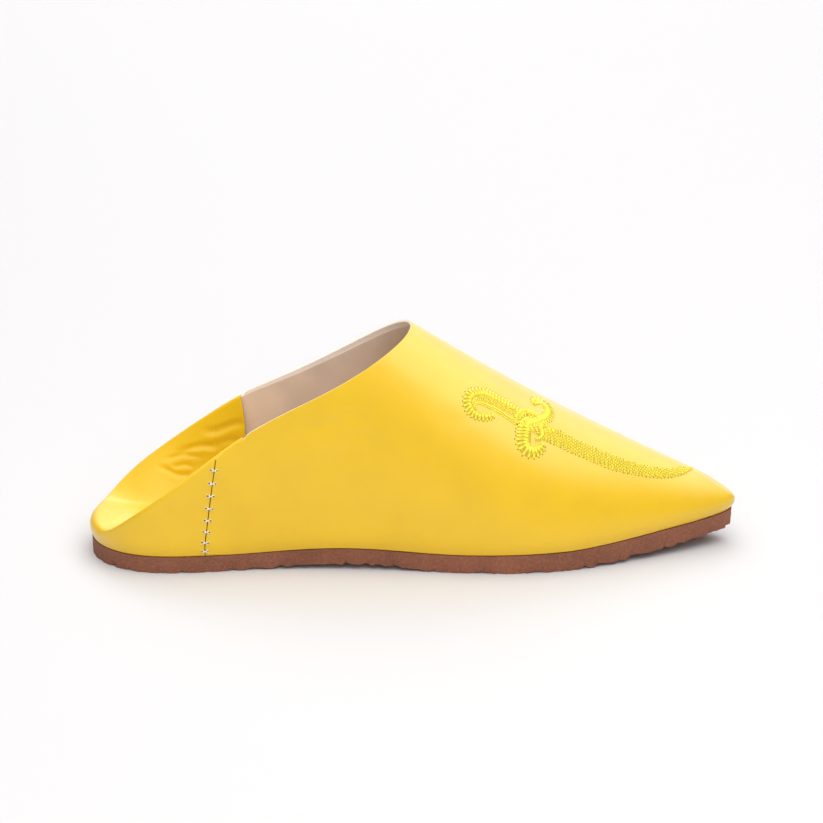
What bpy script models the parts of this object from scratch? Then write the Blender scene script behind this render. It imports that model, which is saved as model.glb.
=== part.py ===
"""Babouche slipper for the right foot: crepe outsole, insole, upper and trodden-down back quarter.

The toe points along +X, +Z is up, the outer side of the foot is -Y, and the sole stands on z = 0.
Every size is in millimetres until a mesh is made, which is in metres.
"""

import math

import bmesh
import bpy
import numpy as np

MM = 0.001
GAP = 0.3
MERGE = 1e-6
SHARP = math.radians(40)
HALVINGS = 32
TURN_STEP = 0.01

# Colours, linear
YELLOW = (0.89, 0.55, 0.03)
BROWN = (0.22, 0.08, 0.04)
BEIGE = (0.58, 0.42, 0.30)

# Driving sizes of the last: its length over the upper, the leather's thickness, how far the
# middle line stops short of heel and toe, and the place of the throat
UPPER_LENGTH = 272.4
HALF = UPPER_LENGTH / 2
WALL = 1.8
HEEL_INSET = 34.0
TOE_INSET = 9.0
INSET_POWER = 4
THROAT = 0.0

# How the upper sits over the sole's edge, and its lasting margin turned in under the foot
OVERHANG = 1.8
TUCK_HEIGHT = 7.0
FEATHER = 1.5
FEATHER_FLAT = 0.9
MARGIN = 9.0
MARGIN_SHARE = 0.5

# Outsole
HEEL_FLAT_END = -82.0
BALL_FLAT = (22.0, 62.0)
ARCH_LIFT = 2.2
TOE_SPRING = 7.4
SPRING_POWER = 1.35
SOLE_EDGE = 0.7

# Insole: its rim lies on the lasting margin and its core fills the space inside it
INSOLE_RIM = 1.5
INSOLE_INSET = 4.1
INSOLE_TOE = 10.0
INSOLE_TOE_POWER = 12
INSOLE_EDGE = 0.5

# Side seam, read up the outside: it leans forward from the sole to the crease
SEAM_FOOT = -87.6
SEAM_TOP = -83.8
SEAM_GAP = 0.9

# Trodden-down back: the flap's front, its free edge inside the shoe, the roll of the crease, and
# how steeply and how straight the flap leaves the roll and comes to rest
FLAP_FRONT = -71.0
NOTCH = 0.8
FLAP_MIDDLE = -80.0
FLAP_CORNER = 14.0
FLAP_CLEAR = 0.4
ROLL = 2.3
STEEPEST = math.radians(78)
DROP = 1.7
LEAVE = 0.42
ARRIVE = 0.3

# How finely the skins are cut into rows and columns, with one close row beside the side seam
WALL_ROWS = 11
ROLL_ROWS = 5
FLAP_ROWS = 5
BACK_COLUMNS = 11
SEAM_ROW = 0.015
FRONT_SHARES = (0, 0.08, 0.36, 0.68, 1)
QUARTER_COLUMNS = 12
VAMP_COLUMNS = 18
PLATE_COLUMNS = 34

# Sections of the last from heel to toe: half-widths to the outer and inner side, the ridge's
# place across the shoe, the crown's height, and how full the walls and the crown are.
#    at     outer  inner  ridge  crown  side  top
LAST = (
    (-136.2, 0.0, 0.0, 0.0, 152.0, 0.60, 0.60),
    (-132.6, 15.8, 16.6, 0.0, 151.0, 0.60, 0.60),
    (-122.0, 28.0, 29.0, 0.0, 149.0, 0.60, 0.60),
    (-105.0, 33.6, 33.2, 0.0, 145.0, 0.60, 0.60),
    (-85.0, 32.8, 32.0, 0.0, 138.0, 0.56, 0.56),
    (-60.0, 31.0, 29.6, 0.2, 129.0, 0.50, 0.54),
    (-34.0, 32.0, 30.6, 0.4, 117.0, 0.56, 0.65),
    (-10.0, 34.8, 33.6, 0.8, 102.2, 0.56, 0.70),
    (15.0, 38.6, 38.0, 1.0, 86.0, 0.56, 0.70),
    (40.0, 40.8, 40.8, 1.2, 70.6, 0.56, 0.68),
    (65.0, 37.4, 39.2, 1.4, 56.3, 0.56, 0.66),
    (88.0, 29.0, 31.8, 1.6, 44.6, 0.56, 0.64),
    (108.0, 19.6, 22.2, 1.6, 35.0, 0.56, 0.62),
    (124.0, 11.8, 14.6, 1.4, 26.8, 0.56, 0.60),
    (136.2, -1.0, 1.0, 1.0, 17.8, 0.56, 0.60),
)

# Thickness of the crepe sheet along the shoe.
#    at     thick
SOLE = (
    (-136.2, 6.8),
    (-90.0, 6.8),
    (-35.0, 6.6),
    (10.0, 7.2),
    (45.0, 7.8),
    (136.2, 8.2),
)

# Height of the collar, and of the crease behind the flap's front.
#    at     height
COLLAR = (
    (-136.2, 14.2),
    (-130.0, 15.2),
    (-123.0, 20.4),
    (-105.0, 34.0),
    (-90.0, 44.8),
    (-71.0, 57.8),
    (-50.0, 69.0),
    (-34.0, 77.0),
    (-14.0, 88.6),
    (-4.0, 94.8),
    (4.0, 99.6),
)


def spline(knots, values):
    """The natural cubic curve through the values, as a function of one number or an array."""
    knots = np.asarray(knots, float)
    values = np.asarray(values, float)
    step = np.diff(knots)
    slope = np.diff(values) / step
    system = np.eye(len(knots))
    right = np.zeros(len(knots))
    for i in range(1, len(knots) - 1):
        system[i, i - 1:i + 2] = (step[i - 1], 2 * (step[i - 1] + step[i]), step[i])
        right[i] = 6 * (slope[i] - slope[i - 1])
    bend = np.linalg.solve(system, right)

    def curve(at):
        at = np.clip(at, knots[0], knots[-1])
        i = np.clip(np.searchsorted(knots, at) - 1, 0, len(step) - 1)
        a = (knots[i + 1] - at) / step[i]
        b = 1 - a
        bent = ((a**3 - a) * bend[i] + (b**3 - b) * bend[i + 1]) * step[i]**2 / 6
        return a * values[i] + b * values[i + 1] + bent

    return curve


AT, OUTER, INNER, RIDGE, CROWN, SIDE, TOP = np.array(LAST).T


def plan_curve():
    """Sideways place of the outline against its turn: 0 at the heel, pi at the toe down the outer
    side, and -pi at the toe down the inner side. Its ends run on round the toe."""
    turn = np.arccos(np.clip(-AT / HALF, -1, 1))
    turns = np.concatenate([-turn[:0:-1], turn])
    sideways = np.concatenate([INNER[:0:-1], -OUTER])
    turns = np.concatenate([turns[-5:-1] - 2 * math.pi, turns, turns[1:5] + 2 * math.pi])
    sideways = np.concatenate([sideways[-5:-1], sideways, sideways[1:5]])
    return spline(turns, sideways)


sideways_at = plan_curve()
ridge_at = spline(AT, RIDGE)
crown_at = spline(AT, CROWN)
side_at = spline(AT, SIDE)
top_at = spline(AT, TOP)
collar_at = spline(*np.array(COLLAR).T)
thickness_at = spline(*np.array(SOLE).T)


def ground_at(x):
    """Height of the sole's underside: flat at heel and ball, lifted in the arch and at the toe."""
    ball, spring = BALL_FLAT
    arch = np.clip((x - HEEL_FLAT_END) / (ball - HEEL_FLAT_END), 0, 1)
    toe = np.clip((x - spring) / (HALF - spring), 0, 1)
    return ARCH_LIFT * np.sin(math.pi * arch)**2 + TOE_SPRING * toe**SPRING_POWER


def bed_at(x):
    """Height of the sole's top."""
    return ground_at(x) + thickness_at(x)


def outline(turn):
    """The widest line of the last in plan."""
    return np.array([-HALF * math.cos(turn), float(sideways_at(turn))])


def spine(turn, heel, toe):
    """The point on the middle line that the section at this turn looks to."""
    back = ((1 + math.cos(turn)) / 2)**INSET_POWER
    front = ((1 - math.cos(turn)) / 2)**INSET_POWER
    x = -HALF * math.cos(turn) + heel * back - toe * front
    return np.array([x, float(ridge_at(x))])


def reach_at(turn):
    """How far it is in plan from the outline to the middle line."""
    return np.linalg.norm(spine(turn, HEEL_INSET, 2 * TOE_INSET) - outline(turn))


def inward(turn, distance):
    """A plan point this far in from the last's outline."""
    edge = outline(turn)
    middle = spine(turn, HEEL_INSET, 2 * TOE_INSET)
    return edge + (middle - edge) * distance / np.linalg.norm(middle - edge)


def base_at(x):
    """Height of the upper's underside, just clear of the sole."""
    return bed_at(x) + GAP


def wall(turn, rise):
    """Outer skin of the last: rise 0 is at the sole and 1 on the ridge."""
    foot = outline(turn)
    ridge = spine(turn, HEEL_INSET, TOE_INSET)
    base = base_at(foot[0])
    height = crown_at(ridge[0]) - base
    side, top = side_at(ridge[0]), top_at(ridge[0])
    pitch = crown_at(ridge[0] + 0.5) - crown_at(ridge[0] - 0.5)
    shoulder = height + pitch * (foot[0] - ridge[0]) * top
    fall = 1 - rise
    out = fall**3 + 3 * fall**2 * rise + 3 * fall * rise**2 * top
    up = 3 * fall**2 * rise * side * height + 3 * fall * rise**2 * shoulder + rise**3 * height
    tuck = OVERHANG * max(0, 1 - up / TUCK_HEIGHT)**2
    plan = ridge + (foot - ridge) * (out - tuck / np.linalg.norm(ridge - foot))
    return np.array([plan[0], plan[1], base + up])


def feather_rise(turn):
    """The rise at which the wall stands one feather above the sole."""
    ridge = spine(turn, HEEL_INSET, TOE_INSET)
    height = crown_at(ridge[0]) - base_at(outline(turn)[0])
    return FEATHER / (3 * side_at(ridge[0]) * height)


def search(below, low, high):
    """Where a test that holds from low upwards stops holding, by halving."""
    for _ in range(HALVINGS):
        middle = (low + high) / 2
        if below(middle):
            low = middle
        else:
            high = middle
    return high


def rise_at(turn, drop=0.0):
    """How far up the wall the collar, or the crease less a drop, is reached at this turn."""
    if spine(turn, HEEL_INSET, TOE_INSET)[0] >= THROAT:
        return 1.0

    def below(rise):
        point = wall(turn, rise)
        return point[2] < collar_at(point[0]) - drop

    return search(below, 0.0, 1.0)


def turn_of(x):
    """The turn, down the outer side, at which the outline has this place along the shoe."""
    return math.acos(-x / HALF)


def throat_turn():
    """The turn whose section has its ridge at the throat."""
    return search(lambda turn: spine(turn, HEEL_INSET, TOE_INSET)[0] < THROAT, 0.0, math.pi)


def level(plan, height):
    """A plan point lifted to a height."""
    return np.array([plan[0], plan[1], height])


def unit(vector):
    """The vector at length one."""
    return vector / np.linalg.norm(vector)


def crest_frame(turn):
    """Where the crease's roll starts on the wall, which way is inward, and the crease's slope."""
    nearby = (turn - TURN_STEP, turn + TURN_STEP)
    behind, ahead = (wall(beside, rise_at(beside, ROLL)) for beside in nearby)
    along = ahead - behind
    slope = abs(along[2]) / np.linalg.norm(along[:2])
    stretch = math.hypot(1, slope)
    rise = rise_at(turn, ROLL * stretch)
    start = wall(turn, rise)
    across = unit(np.array([-along[1], along[0]]))
    if across @ (spine(turn, HEEL_INSET, TOE_INSET) - start[:2]) < 0:
        across = -across
    climb = unit(start - wall(turn, rise * (1 - TURN_STEP)))
    lean = math.atan2(climb[:2] @ across, climb[2])
    return start, across, lean, stretch


def flap_edge(turn):
    """The flap's free edge inside the shoe, on the insole."""
    share = turn / turn_of(FLAP_FRONT)
    x = FLAP_MIDDLE + (FLAP_FRONT - FLAP_MIDDLE - 1) * share**2
    return np.array([x, -FLAP_CORNER * share, insole_top(x) + FLAP_CLEAR + WALL])


def bezier(points, share):
    """A point on the cubic curve through four handles."""
    rest = 1 - share
    weights = (rest**3, 3 * rest**2 * share, 3 * rest * share**2, share**3)
    return sum(weight * point for weight, point in zip(weights, points))


def fold(turn):
    """The folded skin past the wall at this turn: the crease's roll, then the flap."""
    start, across, lean, stretch = crest_frame(turn)
    end = flap_edge(turn)
    fall = start[2] - end[2]
    reach = np.linalg.norm(end[:2] - start[:2]) - 2 * ROLL
    steep = min(STEEPEST, math.atan2(DROP * fall, reach))
    last = math.pi / 2 + steep
    points = []
    for i in range(1, ROLL_ROWS + 1):
        heading = lean + (last - lean) * i / ROLL_ROWS
        plan = start[:2] + ROLL * (math.cos(lean) - math.cos(heading)) * across
        height = start[2] + ROLL * stretch * (math.sin(heading) - math.sin(lean))
        points.append(level(plan, height))
    leave = unit(level(across * math.sin(last), math.cos(last) * stretch))
    away = end - points[-1]
    arrive = unit(level(away[:2], 0))
    length = np.linalg.norm(away)
    handles = (points[-1], points[-1] + LEAVE * length * leave, end - ARRIVE * length * arrive, end)
    points += [bezier(handles, i / FLAP_ROWS) for i in range(1, FLAP_ROWS + 1)]
    return points


def insole_top(x):
    """Height of the foot bed."""
    return base_at(x) + WALL + GAP + INSOLE_RIM


def margin_inset(turn):
    """How far in from the outline the lasting margin's inner edge lies."""
    return min(OVERHANG + FEATHER_FLAT + MARGIN, MARGIN_SHARE * reach_at(turn))


def margin(turn):
    """The lasting margin's underside at this turn, from its inner edge out to the feather."""
    inner = margin_inset(turn)
    outer = OVERHANG + FEATHER_FLAT
    plans = [inward(turn, inset) for inset in (inner, (inner + outer) / 2, outer)]
    return [level(plan, base_at(plan[0])) for plan in plans]


def wall_shares(turn, drop):
    """How the wall's rows are spread: the first stands clear of the feather's corner."""
    height = wall(turn, rise_at(turn, drop))[2] - base_at(outline(turn)[0]) - FEATHER
    first = max(1 / WALL_ROWS, min(0.5, FEATHER / height))
    return np.concatenate([[0.0], np.linspace(first, 1, WALL_ROWS)])


def column(foot_turn, top_turn, form):
    """One column of the upper's skin, from the margin's inner edge up the wall. A fold runs on
    over the crease and down the flap, and a notch stops where the crease's roll would start.
    Its turn at the sole and at the top differ beside the side seam."""
    drop = 0.0 if form == "collar" else ROLL * crest_frame(top_turn)[3]
    points = margin(foot_turn)
    for share in wall_shares(top_turn, drop):
        turn = foot_turn + (top_turn - foot_turn) * share
        low = feather_rise(turn)
        points.append(wall(turn, low + (rise_at(turn, drop) - low) * share))
    if form == "fold":
        points += fold(top_turn)
    return points


def seam_turns(side):
    """Turns of the seam at the sole and at the crease, half a gap to one side of it."""
    shift = side * SEAM_GAP / 2
    return turn_of(SEAM_FOOT + shift), turn_of(SEAM_TOP + shift)


def upper_turns():
    """The columns from the outer side seam forward to the toe, as (at sole, at top, form)."""
    seam_foot, seam_top = seam_turns(1)
    front = turn_of(FLAP_FRONT)
    throat = throat_turn()
    columns = []
    for share in FRONT_SHARES:
        columns.append((seam_foot + (front - seam_foot) * share,
                        seam_top + (front - seam_top) * share, "fold"))
    notch = turn_of(FLAP_FRONT + NOTCH)
    columns.append((notch, notch, "notch"))
    beside = turn_of(FLAP_FRONT + NOTCH + ROLL)
    for share in np.linspace(0, 1, QUARTER_COLUMNS + 1):
        turn = throat - (throat - beside) * (1 - share)**2
        columns.append((turn, turn, "collar"))
    for share in np.linspace(0, 1, VAMP_COLUMNS + 1)[1:]:
        turn = throat + (math.pi - throat) * share
        columns.append((turn, turn, "collar"))
    return columns


def back_turns():
    """The columns from the inner side seam round the heel to the outer one."""
    seam_foot, seam_top = seam_turns(-1)
    half = np.append(np.arange(BACK_COLUMNS) / BACK_COLUMNS, (1 - SEAM_ROW, 1))
    shares = np.concatenate([-half[:0:-1], half])
    return [(seam_foot * share, seam_top * share, "fold") for share in shares]


def both_sides(columns):
    """Columns down the outer side to the toe, carried on round it and back up the inner side."""
    return columns + [(-foot, -top, form) for foot, top, form in columns[-2::-1]]


def skin(name, columns, closed=False):
    """A surface lofted between columns of points; a longer column's extra points stay unjoined
    beside a shorter one."""
    shape = bmesh.new()
    rows = [[shape.verts.new(point * MM) for point in points] for points in columns]
    pairs = list(zip(rows, rows[1:]))
    if closed:
        pairs.append((rows[-1], rows[0]))
    for here, there in pairs:
        for i in range(min(len(here), len(there)) - 1):
            shape.faces.new((here[i], there[i], there[i + 1], here[i + 1]))
    bmesh.ops.remove_doubles(shape, verts=shape.verts, dist=MERGE)
    mesh = bpy.data.meshes.new(name)
    shape.to_mesh(mesh)
    shape.free()
    return bpy.data.objects.new(name, mesh)


def thicken(part, wall):
    """Give an open skin its wall, on the inside."""
    modifier = part.modifiers.new("Wall", "SOLIDIFY")
    modifier.thickness = wall * MM
    modifier.offset = -1
    modifier.use_even_offset = True


def round_off(part):
    """Shade the part smooth, and keep its true edges sharp."""
    part.data.shade_smooth()
    part.data.set_sharp_from_angle(angle=SHARP)


def plate_turns():
    """Columns all round a flat piece, from the toe down the outer side and back up the inner."""
    return np.linspace(math.pi, -math.pi, 2 * PLATE_COLUMNS + 1)[:-1]


def finish(name, colour, roughness):
    """A plain opaque material."""
    material = bpy.data.materials.new(name)
    material.use_nodes = True
    shader = material.node_tree.nodes["Principled BSDF"]
    shader.inputs["Base Color"].default_value = (*colour, 1)
    shader.inputs["Roughness"].default_value = roughness
    shader.inputs["Metallic"].default_value = 0.0
    return material


def make_upper():
    """Vamp and both quarters: one skin from the outer side seam round the toe to the inner one."""
    columns = [column(*turns) for turns in both_sides(upper_turns())]
    part = skin("upper", columns)
    thicken(part, WALL)
    return part


def make_back_quarter():
    """The heel piece between the side seams, folded in at the crease."""
    part = skin("back_quarter", [column(*turns) for turns in back_turns()])
    thicken(part, WALL)
    return part


def make_outsole():
    """The crepe sheet: a closed ring of columns from the middle of its top round to its underside."""
    columns = []
    for turn in plate_turns():
        reach = reach_at(turn)
        middle, between, trimmed, edge = (
            inward(turn, inset) for inset in (reach, reach / 2, OVERHANG + SOLE_EDGE, OVERHANG))
        columns.append([level(plan, bed_at(plan[0])) for plan in (middle, between, edge)]
                       + [level(edge, ground_at(edge[0]) + SOLE_EDGE)]
                       + [level(plan, ground_at(plan[0])) for plan in (trimmed, between, middle)])
    return skin("outsole", columns, closed=True)


def make_insole():
    """The sock: a rim over the lasting margin, and a core let down inside it."""
    columns = []
    for turn in plate_turns():
        inset = INSOLE_INSET + INSOLE_TOE * ((1 - math.cos(turn)) / 2)**INSOLE_TOE_POWER
        core_inset = max(margin_inset(turn) + INSOLE_EDGE, inset + 4 * INSOLE_EDGE)
        middle, core, trimmed, edge = (
            inward(turn, distance)
            for distance in (reach_at(turn), core_inset, inset + INSOLE_EDGE, inset))
        columns.append([level(middle, insole_top(middle[0])),
                        level(core, insole_top(core[0])),
                        level(trimmed, insole_top(trimmed[0])),
                        level(edge, insole_top(edge[0]) - INSOLE_EDGE),
                        level(edge, insole_top(edge[0]) - INSOLE_RIM),
                        level(core, insole_top(core[0]) - INSOLE_RIM),
                        level(core, base_at(core[0])),
                        level(middle, base_at(middle[0]))])
    return skin("insole", columns, closed=True)


def clear_scene():
    """Remove what a new scene comes with."""
    for item in list(bpy.data.objects):
        bpy.data.objects.remove(item, do_unlink=True)


def main():
    clear_scene()
    group = bpy.data.collections.new("babouche_slipper")
    bpy.context.scene.collection.children.link(group)
    dyed = finish("dyed leather", YELLOW, 0.35)
    finishes = {
        "outsole": finish("crepe rubber", BROWN, 0.8),
        "insole": finish("sock leather", BEIGE, 0.7),
        "upper": dyed,
        "back_quarter": dyed.copy(),
    }
    for part in (make_outsole(), make_insole(), make_upper(), make_back_quarter()):
        group.objects.link(part)
        part.data.materials.append(finishes[part.name])
        round_off(part)


if __name__ == "__main__":
    main()
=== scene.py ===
"""A right-foot babouche slipper in embroidered yellow leather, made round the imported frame.

Each piece is shaped on the same last as the frame's solids, with finer rows and columns. Tables and
functions use millimetres, with X from heel to toe, and meshes are made in metres.
"""

import math
import random

import bpy
import numpy as np
from bpy.props import FloatProperty, FloatVectorProperty, PointerProperty
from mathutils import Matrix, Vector, noise
from mathutils.bvhtree import BVHTree


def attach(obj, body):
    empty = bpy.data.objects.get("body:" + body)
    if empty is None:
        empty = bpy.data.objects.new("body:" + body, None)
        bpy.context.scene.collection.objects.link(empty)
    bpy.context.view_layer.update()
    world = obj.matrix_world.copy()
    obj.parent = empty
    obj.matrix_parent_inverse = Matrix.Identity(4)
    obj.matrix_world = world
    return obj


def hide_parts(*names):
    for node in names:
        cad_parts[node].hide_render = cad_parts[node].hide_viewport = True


bl_info = {
    "name": "Babouche Slipper",
    "version": (1, 0, 0),
    "blender": (4, 5, 0),
    "location": "View3D > Sidebar > Babouche",
    "description": "Makes a right-foot babouche slipper in embroidered yellow leather",
    "category": "Add Mesh",
}

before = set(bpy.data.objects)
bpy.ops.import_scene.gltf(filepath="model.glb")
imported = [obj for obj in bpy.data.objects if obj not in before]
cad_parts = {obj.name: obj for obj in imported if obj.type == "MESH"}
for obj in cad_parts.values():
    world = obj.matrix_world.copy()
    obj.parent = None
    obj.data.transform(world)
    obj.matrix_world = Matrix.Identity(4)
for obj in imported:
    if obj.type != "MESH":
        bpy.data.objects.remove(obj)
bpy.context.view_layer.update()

MM = 0.001
MERGE = 2e-5
TINY = 1e-9
HALVINGS = 26
LINE_STEPS = 200
BAND_STEPS = 400
TURN_STEP = 0.01
SHARP = math.radians(40)
EDGE_ANGLE = math.radians(60)
EDGE_ROUND = 0.12

# Driving sizes of the last, as the frame's solids have them
UPPER_LENGTH = 272.4
HALF = UPPER_LENGTH / 2
WALL = 1.8
HEEL_INSET = 34.0
TOE_INSET = 9.0
INSET_POWER = 4
THROAT = 0.0
GAP = 0.3
OVERHANG = 1.8
TUCK_HEIGHT = 7.0
TOE_TUCK = 1.4
TOE_TUCK_START = 112.0
SOLE_INSET = 1.4
SOLE_CLOSE = 0.24
HEEL_FLAT_END = -82.0
BALL_FLAT = (22.0, 62.0)
ARCH_LIFT = 2.2
TOE_SPRING = 7.4
SPRING_POWER = 1.35
SOCK_RIM = 1.5

# Sections of the last from heel to toe: half-widths to the outer and inner side, the ridge's
# place across the shoe, the crown's height, and how full the walls and the crown are.
#    at     outer  inner  ridge  crown  side  top
LAST = (
    (-136.2, 0.0, 0.0, 0.0, 152.0, 0.60, 0.60),
    (-132.6, 15.8, 16.6, 0.0, 151.0, 0.60, 0.60),
    (-122.0, 28.0, 29.0, 0.0, 149.0, 0.60, 0.60),
    (-105.0, 33.6, 33.2, 0.0, 145.0, 0.60, 0.60),
    (-85.0, 32.8, 32.0, 0.0, 138.0, 0.56, 0.56),
    (-60.0, 31.0, 29.6, 0.2, 129.0, 0.50, 0.54),
    (-34.0, 32.0, 30.6, 0.4, 117.0, 0.56, 0.65),
    (-10.0, 34.8, 33.6, 0.8, 102.2, 0.56, 0.70),
    (15.0, 38.6, 38.0, 1.0, 86.0, 0.56, 0.70),
    (40.0, 40.8, 40.8, 1.2, 70.6, 0.56, 0.68),
    (65.0, 37.4, 39.2, 1.4, 56.3, 0.56, 0.66),
    (88.0, 29.0, 31.8, 1.6, 44.6, 0.56, 0.64),
    (108.0, 19.6, 22.2, 1.6, 35.0, 0.56, 0.62),
    (124.0, 11.8, 14.6, 1.4, 26.8, 0.56, 0.60),
    (136.2, -1.0, 1.0, 1.0, 17.8, 0.56, 0.60),
)

# Thickness of the crepe sheet along the shoe.
#    at     thick
SOLE = (
    (-136.2, 6.8),
    (-90.0, 6.8),
    (-35.0, 6.6),
    (10.0, 7.2),
    (45.0, 7.8),
    (104.0, 7.9),
    (136.2, 6.7),
)

# Height of the collar, and of the crease behind the flap's front.
#    at     height
COLLAR = (
    (-136.2, 14.2),
    (-130.0, 15.2),
    (-123.0, 20.4),
    (-105.0, 34.0),
    (-90.0, 44.8),
    (-71.0, 57.8),
    (-50.0, 69.0),
    (-34.0, 77.0),
    (-14.0, 88.6),
    (-4.0, 94.8),
    (4.0, 99.6),
)

# Outer radius of the roll of the crease: soft at the back of the heel, tight along the sides.
#    at     radius
CREASE = (
    (-136.2, 4.2),
    (-133.5, 3.2),
    (-129.0, 1.7),
    (-122.0, 1.3),
    (-105.0, 1.25),
    (-88.0, 1.3),
    (-71.0, 1.3),
)

# Trodden-down back: the flap's front on the collar, the length over which the collar ahead of it
# rises to its full height, how far its front edge swells forward, and its free edge inside
FLAP_FRONT = -72.8
FLAP_DIP = 0.8
FLAP_SWELL = 2.0
FLAP_SWELL_LENGTH = 9.0
SWELL_POWER = 0.7
FLAP_MIDDLE = -80.0
FLAP_CORNER = 14.0
FLAP_CLEAR = 0.4
STEEPEST = math.radians(78)
DROP = 1.15
LEAVE = 0.36
ARRIVE = 0.34

# The crease stands higher on the inner side of the heel than on the outer side: by how much it is
# raised and lowered, and between which places each comes back to nothing
HEEL_RAISED = (1.5, -78.0, -48.0)
HEEL_LOWERED = (0.8, -125.0, -88.0)

# How far the lining reaches back under the flap, and its clearance inside the leather
LINING_UNDER = 2.5
LINING_CLEAR = 0.04

# Side seam, read up the outside, and how the leather turns under at the sole
SEAM_FOOT = -88.4
SEAM_TOP = -83.8
SEAM_FOLD_GAP = 0.02
FEATHER = 0.3
FEATHER_FLAT = 0.5
MARGIN = 9.0
MARGIN_SHARE = 0.5

# Rows over which a crease fades in past the crease's roll
PRESSED_OVER = 6

# How a crease wanders, over what share of its length it fades at each end, and how far off its
# straight line the leather it presses may lie
CREASE_WAVE = 0.5
CREASE_WAVES = 7.0
CREASE_FADE = 0.35
CREASE_REACH = 6.0

# Rows and columns of the sheets
MARGIN_ROWS = 3
WALL_ROWS = 58
ROLL_ROWS = 10
FLAP_ROWS = 70
BACK_COLUMNS = 120
FOLD_COLUMNS = 22
QUARTER_COLUMNS = 72
VAMP_COLUMNS = 108
SOLE_COLUMNS = 270
SOLE_SIDE_ROWS = 9
SOLE_FLAT_ROWS = 20
SOCK_COLUMNS = 120

# Creases in the flap, as soft troughs between low ridges. Each runs straight from one place to
# another, with its width and depth. The first six are on the inner side of the heel.
#    from x, y, z             to x, y, z               width depth
FLAP_CREASES = (
    ((-91.0, 26.0, 43.0), (-67.0, 24.5, 45.5), 2.2, 1.00),
    ((-91.0, 25.5, 38.0), (-66.0, 23.5, 38.0), 1.8, 0.55),
    ((-102.0, 26.5, 34.0), (-78.0, 22.0, 37.0), 1.8, 0.85),
    ((-106.0, 27.0, 31.0), (-87.0, 23.0, 32.5), 1.3, 0.50),
    ((-103.0, 25.0, 28.0), (-91.0, 22.0, 28.0), 1.2, 0.45),
    ((-109.0, 25.0, 26.5), (-91.0, 20.5, 24.5), 1.6, 0.60),
    ((-94.0, -26.0, 40.0), (-70.0, -23.5, 41.0), 2.2, 0.70),
    ((-103.0, -25.0, 31.0), (-80.0, -21.0, 31.0), 1.8, 0.60),
    ((-98.0, -16.0, 19.0), (-82.0, -12.0, 15.5), 2.4, 0.40),
    ((-96.0, 15.0, 18.5), (-81.0, 10.0, 15.0), 2.4, 0.40),
)

# Soft hollows in the quarters and the vamp, where hands and folding have pressed the leather.
#    from x, y, z             to x, y, z               width depth
BODY_CREASES = (
    ((-54.0, -31.0, 60.0), (-18.0, -33.0, 66.0), 6.0, 0.22),
    ((-50.0, -31.5, 50.0), (-6.0, -35.0, 50.0), 9.0, 0.25),
    ((0.0, -30.0, 78.0), (26.0, -32.0, 62.0), 8.0, 0.25),
    ((22.0, -40.0, 34.0), (64.0, -39.0, 28.0), 9.0, 0.22),
    ((-45.0, 30.5, 58.0), (-8.0, 33.0, 62.0), 7.0, 0.25),
    ((18.0, 39.0, 38.0), (60.0, 39.0, 30.0), 9.0, 0.22),
    ((-50.0, -31.0, 66.0), (-35.0, -31.0, 60.0), 1.5, 0.32),
    ((-45.0, -31.0, 69.0), (-28.0, -31.0, 62.0), 1.6, 0.36),
    ((-41.0, -31.0, 64.0), (-25.0, -32.0, 56.0), 1.5, 0.30),
    ((-33.0, -31.0, 70.0), (-17.0, -32.0, 63.0), 1.6, 0.34),
    ((-30.0, -32.0, 61.0), (-12.0, -34.0, 54.0), 1.5, 0.30),
    ((-55.0, -30.0, 58.0), (-39.0, -31.0, 51.0), 1.5, 0.28),
)


def length_property(name, description, default, low, high):
    """A length in millimetres, kept in metres."""
    return FloatProperty(
        name=name, description=description, default=default * MM, min=low * MM, max=high * MM,
        unit="LENGTH")


def power_property(name, description, default):
    """The power of a lamp in watts."""
    return FloatProperty(name=name, description=description, default=default, unit="POWER")


def colour_property(name, description, default):
    """A linear colour swatch."""
    return FloatVectorProperty(
        name=name, description=description, default=default, subtype="COLOR", size=3, min=0, max=1)


class ShoeSizes(bpy.types.PropertyGroup):
    """Sizes that a maker would change without changing the last."""

    leather: length_property("Leather", "Thickness of the yellow leather", 1.1, 0.6, 1.3)
    lining: length_property("Lining", "Thickness of the lining", 0.6, 0.3, 0.7)
    rim_side: length_property(
        "Rim at the side", "Raw leather left above the lining at the flap", 0.9, 0, 4)
    rim_throat: length_property(
        "Rim at the throat", "Raw leather left above the lining at the throat", 3.0, 0, 5)
    seam: length_property("Side seam", "Gap between the two butted edges", 0.42, 0.1, 1)
    chips: length_property("Sole chips", "How deep the sole's lower edge is chipped", 1.0, 0, 2)
    crinkle: length_property("Crepe crinkle", "How deep the underside is crinkled", 0.9, 0, 2)
    thread: length_property(
        "Embroidery thread", "Diameter of the embroidery thread", 0.61, 0.3, 1)
    cross_thread: length_property(
        "Seam thread", "Diameter of the thread in the side seams", 0.56, 0.3, 1)


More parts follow.
